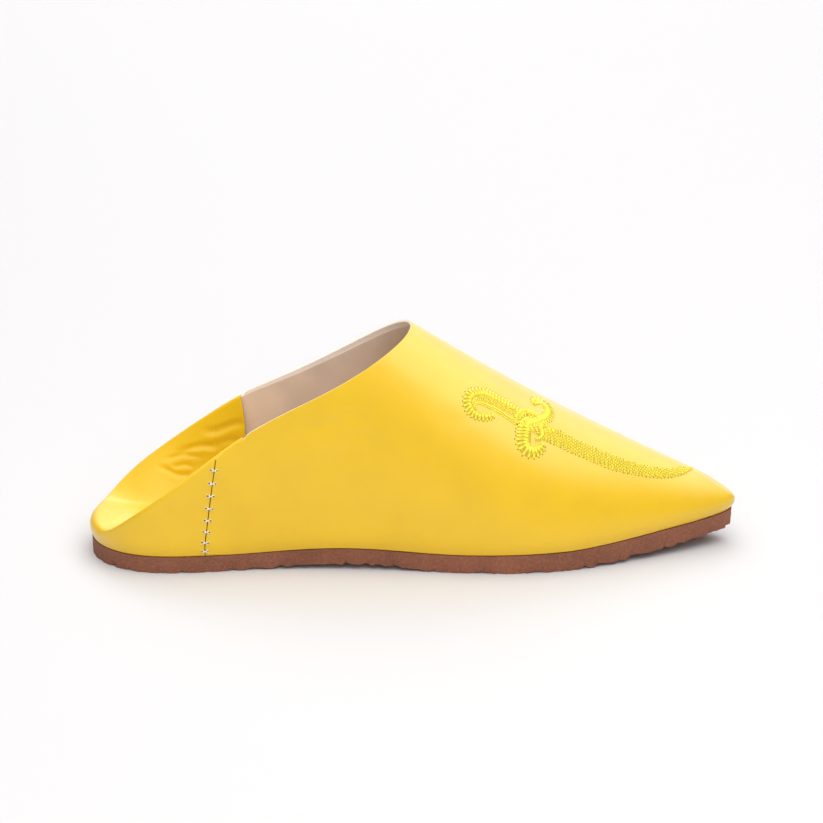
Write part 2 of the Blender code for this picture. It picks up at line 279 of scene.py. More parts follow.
class ShoeColours(bpy.types.PropertyGroup):
    """Colours of the shoe's materials."""

    leather: colour_property("Leather", "Dyed grain side", (0.80, 0.495, 0.003))
    flesh: colour_property("Flesh side", "Undyed inside of the leather", (0.90, 0.80, 0.73))
    edge: colour_property("Cut edge", "Raw edge of the leather at the collar", (0.90, 0.78, 0.56))
    lining: colour_property("Lining", "Lining and sock", (0.75, 0.585, 0.455))
    crepe: colour_property("Crepe", "Rubber of the sole", (0.235, 0.085, 0.045))
    cross: colour_property("Seam thread", "Waxed thread in the side seams", (0.86, 0.80, 0.60))
    lemon: colour_property("Embroidery thread", "Shiny embroidery thread", (0.96, 0.85, 0.04))
    # The embroidery ground colour is painted shade, laid under the stitches to darken the gaps
    # between them.
    ground: colour_property("Embroidery gap shade", "Painted shade between the stitches", (0.60, 0.39, 0.01))
    # The needle hole colour is painted shade for the hollows of the holes.
    hole: colour_property("Needle hole", "Inside of a needle hole", (0.10, 0.055, 0.012))
    floor: colour_property("Floor", "Studio floor", (0.72, 0.71, 0.716))


class StudioLook(bpy.types.PropertyGroup):
    """Camera and light."""

    elevation: FloatProperty(
        name="Elevation", description="Camera's height above the horizon",
        default=math.radians(18), subtype="ANGLE")
    swing: FloatProperty(
        name="Swing", description="How far the camera looks towards the toe",
        default=math.radians(2.5), subtype="ANGLE")
    distance: FloatProperty(
        name="Distance", description="From the camera to the shoe", default=2.0, unit="LENGTH")
    field: FloatProperty(
        name="Field", description="Width of the view at the shoe", default=0.3424, unit="LENGTH")
    top_softbox: power_property("Top light", "Softbox over the shoe", 31)
    top_reflector: power_property("Top gloss", "Panel over the shoe that only shows as gloss", 100)
    back_reflector: power_property(
        "Back gloss", "Panel behind the shoe that only shows as gloss", 27)
    front_softbox: power_property("Front light", "Softbox beside the camera", 16)
    back_softbox: power_property("Back light", "Softbox over the floor behind the shoe", 32)
    sky: FloatProperty(
        name="Room light", description="Strength of the light from all round", default=0.22)


# The last

def spline(table, column):
    """The natural cubic curve of one column of a table against its first column."""
    knots = np.array([row[0] for row in table], float)
    values = np.array([row[column] for row in table], float)
    return natural_cubic(knots, values)


def natural_cubic(knots, values):
    """The natural cubic curve through the values, as a function of an array."""
    step = np.diff(knots)
    slope = np.diff(values) / step
    system = np.eye(len(knots))
    right = np.zeros(len(knots))
    for i in range(1, len(knots) - 1):
        system[i, i - 1:i + 2] = (step[i - 1], 2 * (step[i - 1] + step[i]), step[i])
        right[i] = 6 * (slope[i] - slope[i - 1])
    bend = np.linalg.solve(system, right)

    def curve(at):
        at = np.clip(at, knots[0], knots[-1])
        i = np.clip(np.searchsorted(knots, at) - 1, 0, len(step) - 1)
        a = (knots[i + 1] - at) / step[i]
        b = 1 - a
        bent = ((a**3 - a) * bend[i] + (b**3 - b) * bend[i + 1]) * step[i]**2 / 6
        return a * values[i] + b * values[i + 1] + bent

    return curve


def plan_curve():
    """Sideways place of the outline against its turn: 0 at the heel, pi at the toe down the outer
    side, and -pi at the toe down the inner side. Its ends run on round the toe."""
    at, outer, inner = (np.array([row[i] for row in LAST]) for i in range(3))
    turn = np.arccos(np.clip(-at / HALF, -1, 1))
    turns = np.concatenate([-turn[:0:-1], turn])
    sideways = np.concatenate([inner[:0:-1], -outer])
    turns = np.concatenate([turns[-5:-1] - 2 * math.pi, turns, turns[1:5] + 2 * math.pi])
    sideways = np.concatenate([sideways[-5:-1], sideways, sideways[1:5]])
    return natural_cubic(turns, sideways)


sideways_at = plan_curve()
ridge_at, crown_at, side_at, top_at = (spline(LAST, column) for column in (3, 4, 5, 6))
collar_at = spline(COLLAR, 1)
thickness_at = spline(SOLE, 1)
crease_at = spline(CREASE, 1)


def ground_at(x):
    """Height of the sole's underside: flat at heel and ball, lifted in the arch and at the toe."""
    ball, spring = BALL_FLAT
    arch = np.clip((x - HEEL_FLAT_END) / (ball - HEEL_FLAT_END), 0, 1)
    toe = np.clip((x - spring) / (HALF - spring), 0, 1)
    return ARCH_LIFT * np.sin(math.pi * arch)**2 + TOE_SPRING * toe**SPRING_POWER


def bed_at(x):
    """Height of the sole's top."""
    return ground_at(x) + thickness_at(x)


def base_at(x):
    """Height of the upper's underside, just clear of the sole."""
    return bed_at(x) + GAP


def sock_at(x):
    """Height of the foot bed."""
    return base_at(x) + WALL + GAP + SOCK_RIM


def outline(turn):
    """The widest line of the last in plan."""
    return np.stack([-HALF * np.cos(turn), sideways_at(turn)], axis=-1)


def spine(turn, heel=HEEL_INSET, toe=TOE_INSET):
    """The point on the middle line that the section at this turn looks to."""
    back = ((1 + np.cos(turn)) / 2)**INSET_POWER
    front = ((1 - np.cos(turn)) / 2)**INSET_POWER
    x = -HALF * np.cos(turn) + heel * back - toe * front
    return np.stack([x, ridge_at(x)], axis=-1)


def length_of(vectors):
    """The lengths of vectors, kept as a last axis."""
    return np.linalg.norm(vectors, axis=-1, keepdims=True)


def unit(vectors):
    """The vectors at length one."""
    return vectors / np.maximum(length_of(vectors), TINY)


def interpolate(at, known, rows):
    """Rows read off between the places where they are known."""
    return np.stack([np.interp(at, known, column) for column in rows.T], axis=-1)


def inward(turn, distance):
    """Plan points this far in from the last's outline."""
    edge = outline(turn)
    middle = spine(turn, HEEL_INSET, 2 * TOE_INSET)
    return edge + unit(middle - edge) * np.asarray(distance)[..., None]


def reach_at(turn):
    """How far it is in plan from the outline to the middle line."""
    return length_of(spine(turn, HEEL_INSET, 2 * TOE_INSET) - outline(turn))[..., 0]


def lift(plan, height):
    """Plan points lifted to heights."""
    return np.concatenate([plan, np.asarray(height)[..., None]], axis=-1)


def toe_tuck(turn):
    """How much further in the feather and the sole lie round the toe."""
    return TOE_TUCK * smooth((-turn_slack(turn) - TOE_TUCK_START) / (HALF - TOE_TUCK_START))


def wall(turn, rise):
    """Points on the outside of the last: rise 0 is at the sole and 1 on the ridge."""
    foot = outline(turn)
    ridge = spine(turn)
    base = base_at(foot[..., 0])
    height = crown_at(ridge[..., 0]) - base
    side, top = side_at(ridge[..., 0]), top_at(ridge[..., 0])
    pitch = crown_at(ridge[..., 0] + 0.5) - crown_at(ridge[..., 0] - 0.5)
    shoulder = height + pitch * (foot[..., 0] - ridge[..., 0]) * top
    fall = 1 - rise
    out = fall**3 + 3 * fall**2 * rise + 3 * fall * rise**2 * top
    up = 3 * fall**2 * rise * side * height + 3 * fall * rise**2 * shoulder + rise**3 * height
    tuck = (OVERHANG + toe_tuck(turn)) * np.maximum(0, 1 - up / TUCK_HEIGHT)**2
    share = out - tuck / length_of(ridge - foot)[..., 0]
    return lift(ridge + (foot - ridge) * share[..., None], base + up)


def feather_rise(turn):
    """The rise at which the wall stands one feather above the sole."""
    ridge = spine(turn)[..., 0]
    height = crown_at(ridge) - base_at(outline(turn)[..., 0])
    return FEATHER / (3 * side_at(ridge) * height)


def twist_at(turn):
    """How much higher than the collar's table the crease stands at each turn."""
    raised, lowered = (
        size * (1 - smooth((-turn_slack(turn) - start) / (end - start)))
        for size, start, end in (HEEL_RAISED, HEEL_LOWERED))
    return -np.sin(turn) * np.where(turn < 0, raised, lowered)


def rise_at(turn, drop=0.0, throat=THROAT):
    """How far up the wall the collar, less a drop, is reached at each turn."""
    turn = np.asarray(turn, float)
    drop = drop - twist_at(turn)
    low, high = np.zeros_like(turn), np.ones_like(turn)
    for _ in range(HALVINGS):
        middle = (low + high) / 2
        point = wall(turn, middle)
        below = point[..., 2] < collar_at(point[..., 0]) - drop
        low = np.where(below, middle, low)
        high = np.where(below, high, middle)
    return np.where(spine(turn)[..., 0] < throat, high, 1.0)


def turn_of(x):
    """The turn, down the outer side, at which the outline has this place along the shoe."""
    return math.acos(-x / HALF)


def turn_of_throat(throat):
    """The turn whose section has its ridge at the throat."""
    low, high = 0.0, math.pi
    for _ in range(HALVINGS):
        middle = (low + high) / 2
        if spine(np.array(middle))[0] < throat:
            low = middle
        else:
            high = middle
    return high


# The trodden-down back

def crest(turn):
    """Where the crease's roll starts on the wall, its radius, which way is inward, how far the
    wall leans there, and how much the crease's slope stretches the roll."""
    radius = crease_at(wall(turn, rise_at(turn))[..., 0])
    behind, ahead = (wall(turn + step, rise_at(turn + step, radius))
                     for step in (-TURN_STEP, TURN_STEP))
    along = ahead - behind
    level = np.maximum(length_of(along[..., :2])[..., 0], 1e-6)
    stretch = np.hypot(1, along[..., 2] / level)
    rise = rise_at(turn, radius * stretch)
    start = wall(turn, rise)
    across = unit(np.stack([-along[..., 1], along[..., 0]], axis=-1))
    towards = np.sum(across * (spine(turn) - start[..., :2]), axis=-1, keepdims=True)
    across = np.where(towards < 0, -across, across)
    climb = unit(start - wall(turn, rise * (1 - TURN_STEP)))
    lean = np.arctan2(np.sum(climb[..., :2] * across, axis=-1), climb[..., 2])
    return start, radius, across, lean, stretch


def flap_edge(turn):
    """The flap's free edge inside the shoe, on the sock."""
    share = turn / turn_of(FLAP_FRONT)
    x = FLAP_MIDDLE + (FLAP_FRONT - FLAP_MIDDLE - 1) * share**2
    plan = np.stack([x, -FLAP_CORNER * share], axis=-1)
    return lift(plan, sock_at(x) + FLAP_CLEAR + WALL)


def bezier(handles, share):
    """A point on the cubic curve through four handles."""
    rest = 1 - share
    weights = (rest**3, 3 * rest**2 * share, 3 * rest * share**2, share**3)
    return sum(weight * handle for weight, handle in zip(weights, handles))


def full_fold(turn):
    """The folded sheet past the wall: the crease's roll, then the flap. One row of points each."""
    start, radius, across, lean, stretch = crest(turn)
    end = flap_edge(turn)
    fall = start[..., 2] - end[..., 2]
    reach = length_of(end[..., :2] - start[..., :2])[..., 0] - 2 * radius
    steep = np.minimum(STEEPEST, np.arctan2(DROP * fall, reach))
    last = math.pi / 2 + steep
    rows = [start]
    for i in range(1, ROLL_ROWS + 1):
        heading = lean + (last - lean) * i / ROLL_ROWS
        out = radius * (np.cos(lean) - np.cos(heading))
        up = radius * stretch * (np.sin(heading) - np.sin(lean))
        rows.append(lift(start[..., :2] + out[..., None] * across, start[..., 2] + up))
    leave = unit(lift(across * np.sin(last)[..., None], np.cos(last) * stretch))
    away = end - rows[-1]
    length = length_of(away)
    arrive = unit(lift(away[..., :2], np.zeros_like(fall)))
    handles = (rows[-1], rows[-1] + LEAVE * length * leave, end - ARRIVE * length * arrive, end)
    rows += [bezier(handles, i / FLAP_ROWS) for i in range(1, FLAP_ROWS + 1)]
    return np.stack(rows)


def smooth(share):
    """A share eased at both ends."""
    share = np.clip(share, 0, 1)
    return share**2 * (3 - 2 * share)


def fold(turn):
    """The fold of each column, whose front edge swells forward."""
    rows = full_fold(turn)
    behind = FLAP_FRONT + turn_slack(turn)
    swell = FLAP_SWELL * np.exp(-(behind / FLAP_SWELL_LENGTH)**2)
    down = np.linspace(0, 1, FLAP_ROWS)[:, None]
    rows[-FLAP_ROWS:, :, 0] += swell * np.sin(math.pi * down**SWELL_POWER)
    return rows[1:]


def turn_slack(turn):
    """How far each turn's place along the shoe lies behind the middle of the shoe."""
    return HALF * np.cos(turn)


def margin(turn):
    """The lasting margin's underside from its inner edge out to the feather."""
    outer = OVERHANG + FEATHER_FLAT + toe_tuck(turn)
    inner = np.minimum(outer + MARGIN, MARGIN_SHARE * reach_at(turn))
    rows = [inward(turn, inset) for inset in (inner, (inner + outer) / 2, outer)]
    return np.stack([lift(plan, base_at(plan[..., 0])) for plan in rows])


def walls(foot_turns, top_turns, drops, throat=THROAT):
    """Rows of points up the wall from the feather to the collar less a drop."""
    share = np.linspace(0, 1, WALL_ROWS)[:, None]
    turn = foot_turns + (top_turns - foot_turns) * share
    low = feather_rise(turn)
    high = rise_at(turn, np.broadcast_to(drops, turn.shape), throat)
    return wall(turn, low + (high - low) * share)


def pressed(points, creases, first_row=0):
    """The sheet with each crease pressed in along its normals, between two low ridges. Rows below
    the first one keep their places."""
    along = np.gradient(points, axis=1)
    up = np.gradient(points, axis=0)
    normals = unit(np.cross(along, up))
    depth = np.zeros(points.shape[:2])
    for start, end, width, deep in creases:
        start, end = np.array(start), np.array(end)
        middle = (start + end) / 2
        nearest = np.argmin(np.sum((points - middle)**2, axis=-1))
        facing = normals.reshape(-1, 3)[nearest]
        run = end - start
        length = np.linalg.norm(run)
        aside = unit(np.cross(run, facing))
        away = points - middle
        share = away @ (run / length**2) + 0.5
        wave = CREASE_WAVE * width * np.sin(CREASE_WAVES * share + middle[0])
        spread = ((away @ aside + wave) / width)**2
        fade = smooth(share / CREASE_FADE) * smooth((1 - share) / CREASE_FADE)
        near = smooth(2 - np.abs(away @ facing) / CREASE_REACH)
        depth += deep * (1 - spread) * np.exp(-spread) * fade * near
    given = smooth((np.arange(len(points)) - first_row) / PRESSED_OVER)[:, None]
    return points - normals * (depth * given)[..., None]


def seam_turns(side, gap):
    """Turns of the seam at the sole and at the crease, half a gap to one side of it."""
    return tuple(turn_of(place + side * gap / 2) for place in (SEAM_FOOT, SEAM_TOP))


def both_sides(turns):
    """Turns down the outer side to the toe, carried on round it and back up the inner side."""
    return np.concatenate([turns, -turns[-2::-1]])


def quarter_turns(start, throat):
    """Turns from a place on the quarter forward to the toe, closer together near the throat."""
    share = np.linspace(0, 1, QUARTER_COLUMNS + 1)
    quarter = throat - (throat - start) * (1 - share)**2
    vamp = throat + (math.pi - throat) * np.linspace(0, 1, VAMP_COLUMNS + 1)
    return np.concatenate([quarter[1:], vamp[1:]])


# Making meshes

def select_only(piece):
    """Make one object the only selected and the active one."""
    bpy.ops.object.select_all(action="DESELECT")
    piece.select_set(True)
    bpy.context.view_layer.objects.active = piece


def cut_faces(piece, marked):
    """Delete the marked faces."""
    select_only(piece)
    bpy.ops.object.mode_set(mode="EDIT")
    bpy.ops.mesh.select_all(action="DESELECT")
    bpy.ops.mesh.select_mode(type="FACE")
    bpy.ops.object.mode_set(mode="OBJECT")
    piece.data.polygons.foreach_set("select", marked)
    bpy.ops.object.mode_set(mode="EDIT")
    bpy.ops.mesh.delete(type="FACE")
    bpy.ops.object.mode_set(mode="OBJECT")


def weld(piece):
    """Merge points that share a place."""
    select_only(piece)
    bpy.ops.object.mode_set(mode="EDIT")
    bpy.ops.mesh.select_all(action="SELECT")
    bpy.ops.mesh.remove_doubles(threshold=MERGE)
    bpy.ops.mesh.dissolve_degenerate(threshold=MERGE)
    bpy.ops.object.mode_set(mode="OBJECT")


def cut_sheet(name, points, materials, cut_away=None):
    """A grid shaped over rows of points, welded where its edges meet, with its materials. The
    faces that the last argument marks, row by row, are cut away."""
    rows, columns = points.shape[:2]
    bpy.ops.object.select_all(action="DESELECT")
    bpy.ops.mesh.primitive_grid_add(x_subdivisions=columns - 1, y_subdivisions=rows - 1, size=1)
    piece = bpy.context.object
    piece.name = piece.data.name = name
    piece.data.vertices.foreach_set("co", (points * MM).ravel())
    piece.data.update()
    for material in materials:
        piece.data.materials.append(material)
    if cut_away is not None:
        cut_faces(piece, cut_away.ravel())
    weld(piece)
    return piece


def apply(piece, kind, **settings):
    """Add a modifier, set it and apply it."""
    select_only(piece)
    modifier = piece.modifiers.new(kind.title(), kind)
    for name, value in settings.items():
        setattr(modifier, name, value)
    bpy.ops.object.modifier_apply(modifier=modifier.name)


def give_wall(piece, thickness):
    """Thicken a sheet inwards, with the materials after its own on its back and its cut edges, and
    take the sharpness off those edges."""
    apply(piece, "SOLIDIFY", thickness=thickness, offset=-1, use_even_offset=True,
          material_offset=1, material_offset_rim=2)
    apply(piece, "BEVEL", width=EDGE_ROUND * thickness, segments=2, limit_method="ANGLE",
          angle_limit=EDGE_ANGLE, use_clamp_overlap=True)


def finish(piece, replaced=()):
    """Shade a piece and hang it on the frame."""
    select_only(piece)
    bpy.ops.object.shade_smooth_by_angle(angle=SHARP)
    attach(piece, "root")
    if replaced:
        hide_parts(*replaced)


# Materials

def node(tree, kind, values=(), links=(), **settings):
    """A shader node with its settings, socket values and incoming links."""
    made = tree.nodes.new("ShaderNode" + kind)
    for name, value in settings.items():
        setattr(made, name, value)
    for socket, value in dict(values).items():
        made.inputs[socket].default_value = value
    for socket, source in dict(links).items():
        tree.links.new(source, made.inputs[socket])
    return made


def new_material(name, roughness, **sockets):
    """A material, its tree and its shader, with the values that are the same all over."""
    material = bpy.data.materials.new(name)
    material.use_nodes = True
    shader = material.node_tree.nodes["Principled BSDF"]
    shader.inputs["Roughness"].default_value = roughness
    for socket, value in sockets.items():
        shader.inputs[socket.replace("_", " ").title().replace("Ior", "IOR")].default_value = value
    return material, material.node_tree, shader


def millimetres(tree):
    """Object coordinates in millimetres."""
    place = node(tree, "TexCoord").outputs["Object"]
    return node(tree, "Mapping", {"Scale": (1 / MM,) * 3}, {"Vector": place}).outputs["Vector"]


def cloud(tree, place, size, detail=3.0, distortion=0.0):
    """Noise with features of about this size."""
    values = {"Scale": 1 / size, "Detail": detail, "Distortion": distortion}
    return node(tree, "TexNoise", values, {"Vector": place}).outputs["Fac"]


def cells(tree, place, size, feature="F1"):
    """Distance from the middle of cells of about this size."""
    made = node(tree, "TexVoronoi", {"Scale": 1 / size}, {"Vector": place}, feature=feature)
    return made.outputs["Distance"]


def ramp(tree, source, *stops):
    """A colour ramp from (place, colour) stops."""
    made = node(tree, "ValToRGB", links={"Fac": source})
    elements = made.color_ramp.elements
    while len(elements) < len(stops):
        elements.new(1)
    for element, (place, colour) in zip(elements, stops):
        element.position = place
        element.color = (*colour, 1)
    return made.outputs["Color"]


def between(tree, source, low, high, start=0.0, end=1.0):
    """A value mapped from one range to another."""
    values = {"From Min": start, "From Max": end, "To Min": low, "To Max": high}
    return node(tree, "MapRange", values, {"Value": source}).outputs["Result"]


def maths(tree, operation, first, second):
    """Two values joined by an operation. Either may be a number."""
    made = node(tree, "Math", operation=operation)
    for socket, value in zip(made.inputs, (first, second)):
        if isinstance(value, (int, float)):
            socket.default_value = value
        else:
            tree.links.new(value, socket)
    return made.outputs["Value"]


def bump(tree, height, strength, depth, under=None):
    """A bump of this depth in millimetres, over another one."""
    links = {"Height": height}
    if under is not None:
        links["Normal"] = under
    values = {"Strength": strength, "Distance": depth * MM}
    return node(tree, "Bump", values, links).outputs["Normal"]


def surface(tree, shader, colour, relief=None):
    """Give a shader its colour and relief."""
    tree.links.new(colour, shader.inputs["Base Color"])
    if relief is not None:
        tree.links.new(relief, shader.inputs["Normal"])


def shade(colour, factor):
    """A colour made darker or lighter."""
    return tuple(min(1.0, part * factor) for part in colour)


def dyed_leather(colours, name, polish):
    """Smooth leather under a coat of polish: faint clouds in the dye, a fine grain and shallow
    wrinkles."""
    material, tree, shader = new_material(
        name, 0.42, specular_ior_level=0.25, coat_weight=polish, coat_roughness=0.30)
    place = millimetres(tree)
    clouds = cloud(tree, place, 22.0, detail=4.0)
    colour = ramp(tree, clouds, (0.30, shade(colours.leather, 0.955)), (0.52, colours.leather),
                  (0.72, shade(colours.leather, 1.03)))
    grain = cells(tree, place, 0.62, "SMOOTH_F1")
    hair = cloud(tree, place, 0.35, detail=2.0)
    wrinkles = cloud(tree, place, 3.2, detail=4.0, distortion=1.2)
    relief = bump(tree, wrinkles, 0.30, 0.10)
    relief = bump(tree, grain, 0.25, 0.05, relief)
    relief = bump(tree, hair, 0.15, 0.03, relief)
    dullness = between(tree, cloud(tree, place, 7.0, detail=5.0), 0.36, 0.50, 0.3, 0.7)
    surface(tree, shader, colour, relief)
    tree.links.new(dullness, shader.inputs["Roughness"])
    return material


def raw_leather(name, tint):
    """A cut edge or flesh side, with short fibres."""
    material, tree, shader = new_material(name, 0.85, sheen_weight=0.25)
    place = millimetres(tree)
    fibres = cloud(tree, place, 0.30, detail=4.0, distortion=1.5)
    colour = ramp(tree, fibres, (0.25, shade(tint, 0.80)), (0.65, tint))
    surface(tree, shader, colour, bump(tree, fibres, 0.6, 0.12))
    return material


def lining_leather(colours, name, tint):
    """Thin unpolished lining with a pebbled grain and faint stains."""
    material, tree, shader = new_material(name, 0.62, sheen_weight=0.12)
    place = millimetres(tree)
    stains = cloud(tree, place, 14.0, detail=5.0)
    base = shade(colours.lining, tint)
    colour = ramp(tree, stains, (0.28, shade(base, 0.88)), (0.55, base), (0.80, shade(base, 1.06)))
    relief = bump(tree, cloud(tree, place, 5.0, detail=3.0), 0.25, 0.15)
    relief = bump(tree, cells(tree, place, 0.8, "SMOOTH_F1"), 0.35, 0.07, relief)
    surface(tree, shader, colour, relief)
    return material


def crepe_rubber(colours):
    """Matt crepe: dark and light crumbs, open pores, and a dusty skin."""
    material, tree, shader = new_material("crepe rubber", 0.88)
    place = millimetres(tree)
    crumbs = cloud(tree, place, 0.9, detail=6.0)
    broad = cloud(tree, place, 16.0, detail=3.0)
    mixed = maths(tree, "ADD", maths(tree, "MULTIPLY", crumbs, 0.6),
                  maths(tree, "MULTIPLY", broad, 0.4))
    colour = ramp(tree, mixed, (0.34, shade(colours.crepe, 0.72)), (0.50, colours.crepe),
                  (0.66, shade(colours.crepe, 1.35)))
    pores = between(tree, cells(tree, place, 1.5), 0.0, 1.0, 0.06, 0.20)
    relief = bump(tree, crumbs, 0.55, 0.25)
    relief = bump(tree, pores, 0.5, 0.30, relief)
    surface(tree, shader, colour, relief)
    return material


def twisted_thread(name, colour, roughness, twists, **sockets):
    """Thread whose strands twist round it, on the UV map of each stitch, with painted shade in the
    grooves between the strands.
    """
    material, tree, shader = new_material(name, roughness, **sockets)
    uv = node(tree, "UVMap", uv_map="UVMap").outputs["UV"]
    spun = node(tree, "Mapping", {"Scale": (2.0, twists, 1.0)}, {"Vector": uv}).outputs["Vector"]
    strands = node(tree, "TexWave", {"Scale": 0.5, "Distortion": 0.4}, {"Vector": spun},
                   wave_type="BANDS", bands_direction="DIAGONAL").outputs["Fac"]
    # The grooves between the strands are darkened: painted shade.
    tint = ramp(tree, strands, (0.0, shade(colour, 0.62)), (0.6, colour))
    surface(tree, shader, tint, bump(tree, strands, 0.6, 0.10))
    return material


def gap_shade_material(colours):
    """An underlay of painted shade between the stitches."""
    material, tree, shader = new_material("ground thread", 0.8)
    tone = cloud(tree, millimetres(tree), 0.7)
    colour = ramp(tree, tone, (0.3, shade(colours.ground, 0.7)), (0.7, shade(colours.ground, 1.2)))
    surface(tree, shader, colour, bump(tree, tone, 0.6, 0.2))
    return material


def hole_shade_material(colours):
    """The painted shade inside a needle hole: dark, its tone varying at random."""
    material, tree, shader = new_material("needle hole", 0.9)
    tone = cloud(tree, millimetres(tree), 0.4)
    colour = ramp(tree, tone, (0.3, shade(colours.hole, 0.6)), (0.7, shade(colours.hole, 1.5)))
    surface(tree, shader, colour)
    return material


# Pieces of the shoe

def settings(context):
    """The shoe's sizes and colours."""
    return context.scene.babouche_sizes, context.scene.babouche_colours


def shared(name, maker):
    """A material made once and used by several pieces."""
    return bpy.data.materials.get(name) or maker()


# Where the places with a dyed edge and the trodden ones start in a piece's materials. Three
# materials stand there, as for plain places at 0: for the outside, the inside and the cut edge.
DYED_EDGE = 3
TRODDEN = 6

# Weight of the polish, whole and trodden off. A face is trodden this far back from just ahead of
# the flap's front where it looks up this steeply, or looks towards the middle of the heel.
POLISH = 0.9
WORN_POLISH = 0.12
TRODDEN_AHEAD = 6.0
LOOKS_UP = 0.4
LOOKS_LEVEL = 0.05
HEEL_MIDDLE = -90.0

# The upper's edge is dyed behind the flap's front, and a little ahead of it low in the shoe
DYED_AHEAD = 1.0
DYED_AHEAD_INSIDE = 4.0
INSIDE_HALF = 27.0


def leather_materials(colours):
    """Polished, raw inside and raw edge for plain places, all dyed for those with a dyed edge,
    and with the polish trodden off for the flap."""
    polished = shared("dyed leather", lambda: dyed_leather(colours, "dyed leather", POLISH))
    trodden = shared(
        "trodden leather", lambda: dyed_leather(colours, "trodden leather", WORN_POLISH))
    flesh = shared("raw leather", lambda: raw_leather("raw leather", tuple(colours.flesh)))
    edge = shared("cut edge", lambda: raw_leather("cut edge", tuple(colours.edge)))
    return [polished, flesh, edge, polished, polished, polished, trodden, polished, polished]


def is_trodden(face):
    """Whether a face of the leather looks up or inwards, behind the flap's front."""
    at, normal = face.center / MM, face.normal
    if at.x > FLAP_FRONT + TRODDEN_AHEAD:
        return False
    outwards = normal.x * (at.x - HEEL_MIDDLE) + normal.y * at.y
    return normal.z > LOOKS_UP or (normal.z > LOOKS_LEVEL and outwards < 0)


def has_dyed_edge(at):
    """Whether the upper's edge is dyed at this place."""
    inside = abs(at.y) < INSIDE_HALF and at.x < FLAP_FRONT + DYED_AHEAD_INSIDE
    return at.x < FLAP_FRONT + DYED_AHEAD or inside


def sort_faces(piece, dyed):
    """Give the faces of a sheet their kinds of place."""
    for face in piece.data.polygons:
        if is_trodden(face):
            face.material_index = TRODDEN
        elif dyed(face.center / MM):
            face.material_index = DYED_EDGE


def build_upper(context):
    """Vamp and both quarters in one sheet of leather, folded in behind the flap's front."""
    sizes, colours = settings(context)
    seam_foot, seam_top = seam_turns(1, sizes.seam / MM)
    seam_fold = turn_of(SEAM_TOP + SEAM_FOLD_GAP / 2)
    front = turn_of(FLAP_FRONT)
    share = np.linspace(0, 1, FOLD_COLUMNS + 1)
    ahead = quarter_turns(front, turn_of_throat(THROAT))
    foot, top, folding = (
        both_sides(np.concatenate([start + (front - start) * share, ahead]))
        for start in (seam_foot, seam_top, seam_fold))
    _, radius, _, _, stretch = crest(top)
    dip = smooth(1 - (-turn_slack(top) - FLAP_FRONT) / FLAP_DIP)
    folded = np.abs(top) <= front + 1e-9
    rows = walls(foot, top, np.where(folded, 1, dip) * radius * stretch)
    flap = np.repeat(rows[-1:], ROLL_ROWS + FLAP_ROWS, axis=0)
    flap[:, folded] = fold(folding[folded])
    sheet = np.concatenate([pressed(rows, BODY_CREASES, -PRESSED_OVER), flap])
    sheet[WALL_ROWS:, ~folded] = sheet[WALL_ROWS - 1, ~folded]
    for block in (slice(None, FOLD_COLUMNS + 1), slice(-FOLD_COLUMNS - 1, None)):
        sheet[:, block] = pressed(sheet[:, block], FLAP_CREASES, WALL_ROWS + ROLL_ROWS)
    points = np.concatenate([margin(foot), sheet])
    cut_away = np.zeros((points.shape[0] - 1, points.shape[1] - 1), bool)
    cut_away[MARGIN_ROWS + WALL_ROWS - 1:] = ~(folded[1:] & folded[:-1])
    piece = cut_sheet("upper_leather", points, leather_materials(colours), cut_away)
    sort_faces(piece, has_dyed_edge)
    give_wall(piece, sizes.leather)
    finish(piece, ["upper"])


def build_lining(context):
    """The lining inside the upper, trimmed back from the collar so that raw leather shows."""
    sizes, colours = settings(context)
    side, throat_rim = sizes.rim_side / MM, sizes.rim_throat / MM
    throat = THROAT + throat_rim
    turns = both_sides(quarter_turns(turn_of(FLAP_FRONT - LINING_UNDER), turn_of_throat(throat)))
    forward = np.clip((-turn_slack(turns) - FLAP_FRONT) / (THROAT - FLAP_FRONT), 0, 1)
    rows = walls(turns, turns, side + (throat_rim - side) * forward, throat)
    material = shared("lining leather", lambda: lining_leather(colours, "lining leather", 1.0))
    piece = cut_sheet("upper_lining", rows, [material])
    apply(piece, "DISPLACE", strength=-(sizes.leather + LINING_CLEAR * MM), mid_level=0,
          direction="NORMAL")
    give_wall(piece, sizes.lining)
    finish(piece)


def build_back_quarter(context):
    """The heel piece between the side seams, trodden down into the shoe."""
    sizes, colours = settings(context)
    seam_foot, seam_top = seam_turns(-1, sizes.seam / MM)
    share = np.linspace(-1, 1, 2 * BACK_COLUMNS + 1)
    foot, top = seam_foot * share, seam_top * share
    _, radius, _, _, stretch = crest(top)
    rows = walls(foot, top, radius * stretch)
    folding = turn_of(SEAM_TOP - SEAM_FOLD_GAP / 2) * share
    sheet = pressed(np.concatenate([rows, fold(folding)]), FLAP_CREASES, WALL_ROWS + ROLL_ROWS)
    points = np.concatenate([margin(foot), sheet])
    piece = cut_sheet("back_quarter_leather", points, leather_materials(colours))
    sort_faces(piece, lambda at: True)
    give_wall(piece, sizes.leather)
    finish(piece, ["back_quarter"])


def rough(points, size, seed):
    """Smooth noise from -1 to 1 at each point, with features of about this size."""
    flat = points.reshape(-1, points.shape[-1])
    values = [noise.noise(Vector((x / size, y / size, seed))) for x, y in flat[:, :2]]
    return np.array(values).reshape(points.shape[:-1])


def ring_turns(count):
    """Turns all round a flat piece, from the toe down the outer side and back up the inner."""
    return np.linspace(math.pi, -math.pi, 2 * count + 1)


# Crepe edge: bites by depth, size and seed, how far they go everywhere, how far the side wears
# by depth, size and seed, how far it slopes in, and how far the chips and the underside draw in
BITES = ((1.1, 4.4, 3.1), (0.8, 2.0, 7.7))
BITTEN = 0.2
SIDE_WEAR = (0.16, 4.0, 1.3)
WEAR_SHIFT = 40.0
SIDE_SLOPE = 0.25
CHIP_SLOPE = 0.7
UNDER_INSET = 0.9
CRINKLES = (4.2, 5.9)


